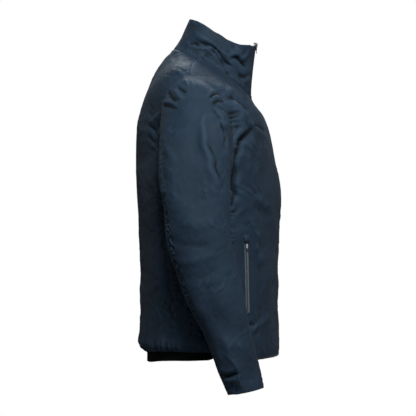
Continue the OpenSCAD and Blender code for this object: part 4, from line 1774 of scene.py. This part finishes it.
    def armhole_x(self, side: Side, flat: Array) -> Array:
        """Finds the torso's outer face beside the sleeve.

        Args:
            side: The wearer's side.
            flat: Points seen from the side, as y and z.

        Returns:
            The x of the face at each point.
        """
        tree, sign = self.tree(side), -1.0 if side is Side.RIGHT else 1.0
        found = []
        for y, z in flat.tolist():
            hit = tree.ray_cast(Vector((sign * 0.6, y, z)), Vector((-sign, 0, 0)))[0]
            found.append(hit.x if hit else tree.find_nearest(Vector((sign * 0.2, y, z)))[0].x)
        return np.array(found)


@dataclass
class Collar:
    """The funnel collar: its shell, fleece lining and hanger loop.

    Attributes:
        middle_row: The row at which its width is measured.
        rim_mm: How far its rim sags or rises at each y, from front to back.
        stitch_mm: The distance of each edge's stitches.
    """

    torso: Torso
    pitch: float = 2.9 * MM
    middle_row: float = 12.5
    rim_mm: Line = (
        (-111, 0), (-104, 3), (-95, 6.5), (-86, 2.5), (-72, -4.5), (-58, -8.5),
        (-41, -9.5), (-21, -7), (-1, 2), (10, 5), (24, 5), (42, 0),
    )
    stitch_mm: tuple[tuple[str, Edge, float], ...] = (
        ("top", Edge.HEAD, 5), ("neck", Edge.FOOT, 3), ("right_front", Edge.START, 13), ("left_front", Edge.END, 13),
    )

    def build(self) -> None:
        """Builds the collar's cloths."""
        cloth = self.piece(FRONT_GAP, NECK_ROW + 0.02, TOP_ROW, 0.0, self.pitch, SHELL_T)
        made = cloth.rolled(Edge.START, PLACKET_TURN).rolled(Edge.END, PLACKET_TURN)
        made = made.rolled(Edge.FOOT, SEAM_TURN).rolled(Edge.HEAD, COLLAR_TURN)
        declare(dress(made.build("collar_shell"), SHELL, "torso", ("collar_outer",)), made)
        for name, edge, gap in self.stitch_mm:
            sew(f"collar_{name}_stitches", cloth, edge, gap)
        fleece = self.piece(14 * MM, NECK_ROW + 0.06, TOP_ROW - 0.12, 4.1 * MM, self.pitch * 1.2, 1.4 * MM)
        declare(dress(fleece.build("collar_fleece_lining"), FLEECE, "torso", ("collar_lining",)), fleece)
        self.loop()

    def piece(self, edge: float, low: float, high: float, depth: float, pitch: float, thick: float) -> Cloth:
        """Makes a cloth round the collar, from one front edge to the other.

        Args:
            edge: The front edges' distance from the middle.
            low: The lowest row.
            high: The highest row.
            depth: The depth below the outer face.
            pitch: The size of its cells.
            thick: Its thickness.

        Returns:
            The cloth, with its edges not yet turned.
        """
        t = BODY.even_rows([20, 90, 180], low, high, pitch)
        start = float(BODY.angle_at(edge, np.array(self.middle_row)))
        shares = BODY.even_shares(start, 360 - start, self.middle_row, pitch)
        first = BODY.angle_at(edge, t)
        a = first[None] + (360 - 2 * first)[None] * shares[:, None]
        p, n, h = self.torso.relief.shift(Side.RIGHT, a, np.broadcast_to(t, a.shape))
        grid = p + (h - depth)[..., None] * n
        ys, rises = np.array(self.rim_mm).T * MM
        grid[..., 2] += np.interp(p[..., 1], ys, rises) * smooth(np.broadcast_to(t, a.shape), 12.0, TOP_ROW)
        return Cloth(grid, thick)

    def loop(self) -> None:
        """Builds the hanger loop inside the back of the neck: two round ends joined by straights."""
        place = BODY.inside(180.0, NECK_ROW + 0.2, 13 * MM)
        turn = np.radians(np.arange(0, 360, 5))
        radius, half_straight, lean = 8.2, 18, math.radians(115)
        flat = np.stack([np.cos(turn) * radius + np.sign(np.cos(turn)) * half_straight, np.sin(turn) * radius], 1) * MM
        rise, out = np.array([0, math.cos(lean), math.sin(lean)]), np.array([0, -math.sin(lean), math.cos(lean)])
        path = place + flat[:, :1] * X_WAY + flat[:, 1:] * rise
        away = np.cos(turn)[:, None] * X_WAY + np.sin(turn)[:, None] * rise
        section = (
            (-1.7, -0.4), (-1.4, -0.6), (1.4, -0.6), (1.7, -0.4), (1.7, 0.4), (1.4, 0.6), (-1.4, 0.6), (-1.7, 0.4),
        )
        piece = swept_ring("hanger_webbing", path, away, np.broadcast_to(out, path.shape), section)
        dress(piece, LOOP_TAPE, "torso", ("hanger_loop",))


@dataclass
class Sleeve:
    """One sleeve: its outer and under shell, lining, cuff turning and elastic.

    Attributes:
        bend_start: Where the right sleeve starts to bend; not used.
        bend_end: Where it has bent fully; not used.
        gap_rows: How far down the sleeve its head is drawn to the torso.
    """

    side: Side
    torso: Torso
    relief: SleeveRelief = field(default_factory=SleeveRelief)
    bend_start: tuple[float, float, float] = (-0.293, 0.022, -0.33)
    bend_end: tuple[float, float, float] = (-0.294, -0.012, -0.51)
    gap_rows: float = 1.3

    @property
    def mirror(self) -> Array:
        """What turns right-hand points into this side's."""
        return np.ones(3) if self.side is Side.RIGHT else TO_RIGHT

    def bend(self, piece: Piece) -> None:
        """Bakes a piece's place into its points; no bend over the elbow is made."""
        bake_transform(piece)

    def cloth(
        self, first: float, last: float, low: float, high: float, depth: float, pitch: float, thick: float
    ) -> Cloth:
        """Makes a cloth on the sleeve, sewn to the torso where it starts at the armhole.

        Args:
            first: The first angle.
            last: The last angle.
            low: The first row.
            high: The last row.
            depth: The depth below the outer face.
            pitch: The size of its cells.
            thick: Its thickness.

        Returns:
            The cloth, closed to a tube if the angles go all round.
        """
        s = SLEEVE.even_rows([0, 90, 180, 270], low, high, pitch)
        b = first + (last - first) * SLEEVE.even_shares(first, last, 4, pitch)
        loop = last - first == 360
        if loop:
            b = b[:-1]
        grid_b, grid_s = np.broadcast_arrays(b[:, None], s[None])
        p, n, h = self.relief.shift(self.side, grid_b, grid_s)
        h = h * smooth(grid_s, 0.0, 0.2)
        ring = SLEEVE.point(b, np.zeros_like(b)) * self.mirror
        gap = self.torso.armhole_x(self.side, ring[:, 1:]) - ring[:, 0]
        grid = p + (h - depth)[..., None] * n
        grid[..., 0] += gap[:, None] * np.clip(1 - grid_s / self.gap_rows, 0, 1) ** 2
        if self.side is Side.LEFT:
            grid = grid[::-1]
        return Cloth(grid, thick, loop=loop)

    def build(self) -> None:
        """Builds the sleeve's cloths."""
        word = self.side.value
        lower = f"{word}_lower_sleeve"
        cuff, seams = [("cuff", Edge.HEAD, 24)], [("seam_a", Edge.START, 2.6), ("seam_b", Edge.END, 2.6)]
        parts = (
            ("outer", SLEEVE_BACK_SEAM, SLEEVE_FRONT_SEAM, cuff + seams,
             (f"{word}_upper_sleeve_outer", f"{word}_elbow_section", f"{word}_lower_sleeve_outer")),
            ("under", SLEEVE_FRONT_SEAM, 360 + SLEEVE_BACK_SEAM, cuff,
             (f"{word}_upper_sleeve_under", f"{word}_lower_sleeve_under")),
        )
        for part, first, last, rows, nodes in parts:
            cloth = self.cloth(first, last, 0, CUFF_ROW, 0, CLOTH_PITCH, SHELL_T)
            made = cloth.rolled(Edge.START, SEAM_TURN).rolled(Edge.END, SEAM_TURN)
            made = made.rolled(Edge.FOOT, RING_TURN).rolled(Edge.HEAD, CUFF_TURN)
            piece = dress(made.build(f"{word}_sleeve_{part}"), SHELL, None, nodes)
            self.bend(piece)
            declare(piece, made)
            for name, edge, gap in rows:
                thread = stitches(f"{word}_sleeve_{part}_{name}_stitches", *cloth.inset(edge, gap * MM))
                self.bend(dress(thread, THREAD))
        lining = self.cloth(0, 360, 0.3, 9.3, 5.2 * MM, 9 * MM, LINING_T)
        nodes = (f"{word}_upper_sleeve_lining", f"{word}_lower_sleeve_lining")
        piece = dress(lining.build(f"{word}_sleeve_inner_lining"), TAFFETA, None, nodes)
        self.bend(piece)
        declare(piece, lining)
        turning = self.cloth(0, 360, 9.64, 9.97, 2.5 * MM, 4 * MM, 0.6 * MM)
        declare(dress(turning.build(f"{word}_cuff_turning"), SHELL, lower, (f"{word}_cuff_facing",)), turning)
        self.elastic(lower)

    def elastic(self, lower: str) -> None:
        """Builds the ribbed elastic inside the cuff.

        Args:
            lower: The body that it rides on.
        """
        word = self.side.value
        b = np.linspace(0, 360, 480, endpoint=False)
        s = np.linspace(9.4, 9.85, 9)
        rib = 0.25 * MM * np.sin(np.radians(b) * 120)
        depth = (4.6 + np.interp(s, [9.4, 9.6, 9.85], [0, 3, 5])) * MM + rib[:, None]
        p, n, h = self.relief.shift(self.side, *np.broadcast_arrays(b[:, None], s[None]))
        grid = p + (h - depth)[..., None] * n
        cloth = Cloth(grid if self.side is Side.RIGHT else grid[::-1], 1.1 * MM, loop=True)
        piece = dress(cloth.build(f"{word}_cuff_elastic"), ELASTIC, lower, (f"{word}_inner_cuff",))
        declare(piece, cloth)


@dataclass(frozen=True)
class Tooth:
    """One moulded tooth of a zip, shaped once and copied along the chain.

    Attributes:
        size_mm: Its width, depth and height along the zip.
        pitch_mm: The distance from one to the next on one side.
    """

    size_mm: tuple[float, float, float]
    pitch_mm: float

    def shape(self) -> tuple[Array, list[list[int]]]:
        """Shapes the tooth at the origin.

        Returns:
            Its points and its faces.
        """
        tidy_selection()
        bpy.ops.mesh.primitive_cube_add(size=1)
        cube = bpy.context.object
        edit_all(cube)
        bpy.ops.transform.resize(value=tuple(v * MM for v in self.size_mm))
        bpy.ops.mesh.bevel(offset=0.28 * MM * min(self.size_mm), segments=1, affect="EDGES")
        bpy.ops.object.mode_set(mode="OBJECT")
        points = np.array([v.co for v in cube.data.vertices])
        faces = [list(f.vertices) for f in cube.data.polygons]
        bpy.data.objects.remove(cube)
        return points, faces

    def row(self, name: str, path: Array, out: Array, shift_mm: float, phase: float, slant: float = 0.0) -> Piece:
        """A row of teeth beside a path.

        Args:
            name: The piece's name.
            path: The chain's middle line.
            out: The way out of the cloth along it.
            shift_mm: How far beside the line the teeth stand.
            phase: Where the first tooth starts, in pitches.
            slant: How far each tooth leans along the chain, as a share of its width.

        Returns:
            The new piece.
        """
        points, faces = self.shape()
        far, pitch = lengths(path), self.pitch_mm * MM
        places = np.arange(pitch * (0.5 + phase), far[-1] - pitch * 0.4, pitch)
        centre, normal = read_at(far, path, places), unit(read_at(far, out, places))
        along = unit(read_at(far, path, places + pitch / 2) - read_at(far, path, places - pitch / 2))
        across = unit(np.cross(normal, along))
        local = points + np.array([shift_mm * MM, 0, 0])
        rise = local[:, 2] + slant * points[:, 0]
        made = centre[:, None] + local[None, :, :1] * across[:, None] + local[None, :, 1:2] * normal[:, None]
        made = made + rise[None, :, None] * along[:, None]
        all_faces = [[v + k * len(points) for v in f] for k in range(len(centre)) for f in faces]
        return mesh_piece(name, made.reshape(-1, 3), all_faces, None, 35)


@dataclass(frozen=True)
class HardCopy:
    """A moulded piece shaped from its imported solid, with eased edges."""

    ease_mm: float = 0.22

    def build(self, name: str, node: str, finish: Finish, body: str) -> Piece:
        """Copies a solid, merges its points and rounds its edges.

        Args:
            name: The new piece's name.
            node: The solid that it is shaped from and stands for.
            finish: Its finish.
            body: The body that it rides on.

        Returns:
            The new piece.
        """
        piece = bpy.data.objects.new(name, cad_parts[node].data.copy())
        bpy.context.scene.collection.objects.link(piece)
        edit_all(piece)
        bpy.ops.mesh.remove_doubles(threshold=0.01 * MM)
        bpy.ops.mesh.dissolve_limited(angle_limit=math.radians(2))
        bpy.ops.object.mode_set(mode="OBJECT")
        ease = piece.modifiers.new("ease", "BEVEL")
        ease.width, ease.segments, ease.limit_method = self.ease_mm * MM, 2, "ANGLE"
        ease.angle_limit = math.radians(30)
        bpy.ops.object.modifier_apply(modifier="ease")
        bpy.ops.object.shade_smooth_by_angle(angle=math.radians(40))
        return dress(piece, finish, body, (node,))


@dataclass
class MainZip:
    """The front zip: tapes, moulded teeth, slider, puller, stops, box, pin and wind flap."""

    tooth: Tooth = Tooth((2.7, 2.3, 1.55), 3.0)
    tooth_mm: float = 1.45
    tape_mm: tuple[float, ...] = (3.0, 3.6, 4.4, 7.0, 9.6, 12.3)
    flap_mm: tuple[float, ...] = (12.4, 12, 8, 4, 0, -4, -8, -12, -12.4)

    def strip(self, xs_mm: Sequence[float], low: float, high: float, depth_mm: float, thick_mm: float) -> Cloth:
        """Makes a strip along the front middle.

        Args:
            xs_mm: Its lines, as distances to the wearer's left.
            low: The lowest row.
            high: The highest row.
            depth_mm: Its depth below the outer face.
            thick_mm: Its thickness.

        Returns:
            The strip.
        """
        t = BODY.even_rows([0], low, high, 4 * MM)
        line = BODY.inside(0.0, t, depth_mm * MM)
        return Cloth(np.stack([line + (x * MM - line[:, :1]) * X_WAY for x in xs_mm]), thick_mm * MM)

    def build(self) -> None:
        """Builds the zip's pieces."""
        t = BODY.even_rows([0], 0.5, 13.9, 3 * MM)
        path, out = BODY.inside(0.0, t, 3.5 * MM), BODY.normal(np.zeros_like(t), t)
        for side, sign in ((Side.RIGHT, -1), (Side.LEFT, 1)):
            word = side.value
            xs = [sign * x for x in self.tape_mm]
            tape = self.strip(xs if sign < 0 else xs[::-1], 0.03, 13.93, 3.2, 0.6)
            dress(tape.build(f"{word}_zip_webbing"), ZIP_TAPE, "torso", (f"{word}_zip_tape",))
            row = self.tooth.row(f"{word}_zip_teeth", path, out, sign * self.tooth_mm, 0.0 if sign < 0 else 0.5)
            dress(row, TEETH, "torso", (f"{word}_zip_chain",))
        flap = self.strip(self.flap_mm, 0.12, 13.88, 8.7, 1.0)
        declare(dress(flap.build("wind_flap_cloth"), SHELL, "torso", ("wind_flap",)), flap)
        copy = HardCopy()
        copy.build("retainer_box", "zip_retainer_box", TEETH, "torso")
        copy.build("insertion_pin", "zip_insertion_pin", TEETH, "torso")
        copy.build("top_stops", "zip_top_stops", TEETH, "torso")
        copy.build("front_slider", "main_slider", BLACK_METAL, "main_slider")
        copy.build("front_puller", "main_puller", PULL_BLACK, "main_puller")


@dataclass
class Pocket:
    """One hand pocket: welt frame, tapes, coil, stops, hood, bag, slider and puller.

    Attributes:
        coil: One turn of its zip's coil, as a tooth.
        frame_mm: The section of the folded frame: out from the window, and up.
        inlay_place_mm: The inlay's middle, in the pocket's own frame.
    """

    side: Side
    torso: Torso
    coil: Tooth = Tooth((2.1, 1.5, 0.85), 1.35)
    zip_depth: float = 1.9 * MM
    frame_mm: Line = (
        (0.0, -1.2), (-0.1, -0.7), (0.1, -0.1), (0.7, 0.3), (1.8, 0.42), (3.4, 0.34),
        (4.6, 0.44), (5.4, 0.34), (5.9, 0.0), (6.0, -0.5), (5.6, -1.2), (3.0, -1.6),
    )
    bag_angles: tuple[float, float] = (17.0, 54.0)
    bag_z: tuple[float, float] = (-0.380, -0.603)
    inlay_mm: tuple[float, float, float] = (4.4, 1.9, 9.4)
    inlay_place_mm: tuple[float, float, float] = (0.0, 1.3, 62.4)

    @property
    def mirror(self) -> Array:
        """What turns right-hand points into this side's."""
        return np.ones(3) if self.side is Side.RIGHT else TO_RIGHT

    def place(self, q: Array) -> Array:
        """Points of the pocket's own frame, in this side's place."""
        return POCKET.world(q) * self.mirror

    def way(self, v: Array) -> Array:
        """A direction of the pocket's own frame, in this side's place."""
        return (v @ POCKET.axes) * self.mirror

    def facing(self, cloth: Cloth) -> Cloth:
        """The cloth turned, if need be, to face out of the pocket."""
        out = float(np.mean(cloth.normals() @ self.way(OUT_WAY))) >= 0
        return cloth if out else Cloth(cloth.grid[::-1], cloth.thick)

    def build(self) -> None:
        """Builds the pocket's pieces."""
        word = self.side.value
        dress(self.welt(), SHELL, "torso", (f"{word}_pocket_welt",))
        tapes = [self.tape(sign) for sign in (-1, 1)]
        choose(tapes[0])
        tapes[1].select_set(True)
        bpy.ops.object.join()
        dress(tapes[0], POCKET_TAPE, "torso", (f"{word}_pocket_tape",))
        z = np.linspace(-POCKET.length / 2, POCKET.length / 2 - 5 * MM, 60)
        line = np.stack([0 * z, 0 * z - self.zip_depth, z], 1)
        path, out = self.place(line), np.broadcast_to(self.way(OUT_WAY), line.shape)
        halves = ((-1.0, 0.0), (1.0, 0.5))
        rows = [
            self.coil.row(f"{word}_coil_{k}", path, out, shift, phase, 0.18) for k, (shift, phase) in enumerate(halves)
        ]
        choose(rows[0])
        rows[1].select_set(True)
        bpy.ops.object.join()
        rows[0].name = f"{word}_pocket_coil"
        dress(rows[0], COIL, "torso", (f"{word}_pocket_chain",))
        self.hood()
        self.bag()
        copy = HardCopy()
        copy.build(f"{word}_pocket_end_stops", f"{word}_pocket_stops", COIL, "torso")
        copy.build(f"{word}_hand_slider", f"{word}_pocket_slider", BLACK_METAL, f"{word}_pocket_slider")
        copy.build(f"{word}_hand_puller", f"{word}_pocket_puller", PULL_BLACK, f"{word}_pocket_puller")
        self.inlay()

    def welt(self) -> Piece:
        """Makes the folded frame of shell cloth round the zip's window.

        Returns:
            The new piece.
        """
        half_w, half_l, corner = 5.2 * MM, POCKET.length / 2 + 1.5 * MM, 2.5 * MM
        points, ways = [], []
        for cx, cz, start in ((1, 1, 0), (-1, 1, 90), (-1, -1, 180), (1, -1, 270)):
            for turn in np.radians(start + np.arange(0, 91, 15)):
                way = np.array([math.cos(turn), 0, math.sin(turn)])
                points.append(np.array([cx * (half_w - corner), 0, cz * (half_l - corner)]) + corner * way)
                ways.append(way)
        dense, dense_way = [], []
        for k, (p, w) in enumerate(zip(points, ways)):
            q, v = points[(k + 1) % len(points)], ways[(k + 1) % len(points)]
            steps = max(1, round(float(np.linalg.norm(q - p)) / (4 * MM)))
            dense += [p + (q - p) * j / steps for j in range(steps)]
            dense_way += [unit(w + (v - w) * j / steps) for j in range(steps)]
        path, way = np.array(dense), np.array(dense_way)
        number = np.arange(len(path))
        path[:, 1] += 0.12 * MM * np.sin(number * 0.9) + 0.08 * MM * np.sin(number * 2.3)
        out = np.broadcast_to(self.way(OUT_WAY), path.shape)
        return swept_ring(f"{self.side.value}_pocket_frame", self.place(path), self.way(way), out, self.frame_mm)

    def tape(self, sign: int) -> Piece:
        """Makes one half of the pocket zip's tape.

        Args:
            sign: 1 or -1, for the half.

        Returns:
            The new piece.
        """
        x = np.sort(sign * np.array([2.0, 2.6, 5.0, 8.0, 9.8]) * MM)
        z = np.linspace(-POCKET.length / 2 - 2.5 * MM, POCKET.length / 2 + 2.5 * MM, 50)
        if self.side is Side.LEFT:
            x = x[::-1]
        flat = np.stack(np.broadcast_arrays(x[:, None], -self.zip_depth, z[None]), -1)
        cloth = self.facing(Cloth(self.place(flat), 0.6 * MM))
        return cloth.build(f"{self.side.value}_pocket_webbing{'_b' if sign > 0 else ''}")

    def hood(self) -> None:
        """Builds the hood of cloth over the zip's top end."""
        z = np.linspace(0, 1, 12)
        x = np.linspace(-1, 1, 15)
        height = (5.2 * np.sqrt(np.maximum(0, 1 - z**2.2)))[None] * np.maximum(0, 1 - np.abs(x) ** 2.4)[:, None] ** 0.6
        across = x[:, None] * (7.2 - 1.4 * z[None] ** 2)
        up = np.broadcast_to(z * 13.2 - 5.0 + POCKET.length / 2 / MM, height.shape)
        cloth = self.facing(Cloth(self.place(np.stack([across, height, up], -1) * MM), 0.6 * MM))
        dress(cloth.build(f"{self.side.value}_pocket_hood"), SHELL, "torso", (f"{self.side.value}_pocket_garage",))

    def bag(self) -> None:
        """Builds the pocket's bag, flat inside the front."""
        word = self.side.value
        high, low = np.interp(self.bag_z, BODY_ROWS[:9, 6], np.arange(9))
        edges = [PanelEdge(angle) for angle in self.bag_angles]
        cloth = self.torso.cloth(self.side, *edges, float(low), float(high), 6.6 * MM, 7 * MM, 0.5)
        n, m = cloth.grid.shape[:2]
        swell = np.sin(np.linspace(0, math.pi, n))[:, None] * np.sin(np.linspace(0, math.pi, m))[None]
        bag = Cloth(cloth.grid, ((0.7 + 1.9 * swell) * MM).reshape(-1, 1))
        declare(dress(bag.build(f"{word}_pocket_pouch"), TAFFETA, "torso", (f"{word}_pocket_bag",)), bag)

    def inlay(self) -> None:
        """Builds the pale inlay in the puller's tongue."""
        tidy_selection()
        bpy.ops.mesh.primitive_cube_add(size=1)
        piece = bpy.context.object
        piece.name = f"{self.side.value}_hand_puller_inlay"
        edit_all(piece)
        bpy.ops.transform.resize(value=tuple(v * MM for v in self.inlay_mm))
        bpy.ops.mesh.bevel(offset=0.35 * MM, segments=3, affect="EDGES")
        bpy.ops.object.mode_set(mode="OBJECT")
        points = np.array([v.co for v in piece.data.vertices]) + np.array(self.inlay_place_mm) * MM
        piece.data.vertices.foreach_set("co", self.place(points).ravel())
        if self.side is Side.LEFT:
            piece.data.flip_normals()
        piece.data.update()
        choose(piece)
        bpy.ops.object.shade_smooth_by_angle(angle=math.radians(40))
        dress(piece, PULL_GREY, f"{self.side.value}_pocket_puller")


@dataclass
class Studio:
    """A plain pale studio: a white room, soft lights and the camera."""

    floor_z: float = -0.86
    radius: float = 9.0
    light_colour: tuple[float, float, float] = (0.9, 0.97, 1.0)
    lamps: tuple = (
        ("key", (-2.15, -0.3, 1.75), (-0.2, 0.02, -0.3), 0.8, 76),
        ("fill", (-3.0, -0.9, -0.2), (-0.2, 0, -0.4), 1.6, 13),
        ("far_side", (2.1, -0.1, 1.9), (0.2, 0, -0.2), 1.0, 60),
        ("front", (0.3, -3.0, 0.9), (0, 0, -0.3), 1.6, 11),
        ("rear", (1.2, 3.0, 1.4), (0, 0, -0.3), 1.6, 9),
    )
    camera_place: tuple[float, float, float] = (-4.0, 0, -0.335)
    camera_angle: float = 13.34

    def build(self) -> None:
        """Builds the room, the lights and the camera."""
        self.room()
        world = bpy.data.worlds.new("studio")
        world.use_nodes = True
        background = world.node_tree.nodes["Background"]
        background.inputs[0].default_value = (0.86, 0.92, 1.0, 1)
        background.inputs[1].default_value = 0.10
        bpy.context.scene.world = world
        for lamp in self.lamps:
            self.light(*lamp)
        camera = bpy.data.cameras.new("camera")
        camera.angle = math.radians(self.camera_angle)
        holder = bpy.data.objects.new("camera", camera)
        bpy.context.scene.collection.objects.link(holder)
        holder.location = self.camera_place
        holder.rotation_euler = (math.radians(90), 0, math.radians(-90))
        bpy.context.scene.camera = holder
        bpy.context.scene.view_settings.view_transform = "Standard"

    def room(self) -> None:
        """Builds the room: a white dome with a flat floor, which lights nothing."""
        tidy_selection()
        centre = (0, 0, self.floor_z)
        bpy.ops.mesh.primitive_uv_sphere_add(segments=48, ring_count=24, radius=self.radius, location=centre)
        room = bpy.context.object
        room.name = "studio_room"
        bpy.ops.object.transform_apply(location=True)
        for v in room.data.vertices:
            v.co.z = max(v.co.z, self.floor_z)
        for name in ("diffuse", "glossy", "transmission", "volume_scatter", "shadow"):
            setattr(room, f"visible_{name}", False)
        g = Graph("studio_white")
        shader = g.node("ShaderNodeEmission", {}, {"Color": (1, 1, 1, 1), "Strength": 1.0})
        g.tree.links.new(shader.outputs[0], g.node("ShaderNodeOutputMaterial").inputs["Surface"])
        room.data.materials.append(g.material)

    def light(self, name: str, place: tuple, target: tuple, size: float, power: float) -> None:
        """Hangs a soft square lamp.

        Args:
            name: Its name.
            place: Where it hangs.
            target: What it is turned to.
            size: Its width.
            power: Its power in watts.
        """
        data = bpy.data.lights.new(name, "AREA")
        data.shape, data.size, data.energy, data.color = "SQUARE", size, power, self.light_colour
        lamp = bpy.data.objects.new(name, data)
        bpy.context.scene.collection.objects.link(lamp)
        lamp.location = place
        lamp.rotation_euler = (Vector(target) - Vector(place)).to_track_quat("-Z", "Y").to_euler()


def main() -> None:
    """Builds the jacket and its studio."""
    logging.basicConfig(level=logging.INFO, format="%(name)s: %(message)s")
    torso = Torso()
    torso.build()
    Collar(torso).build()
    for side in Side:
        Sleeve(side, torso).build()
    MainZip().build()
    for side in Side:
        Pocket(side, torso).build()
    Studio().build()


if __name__ == "__main__":
    main()
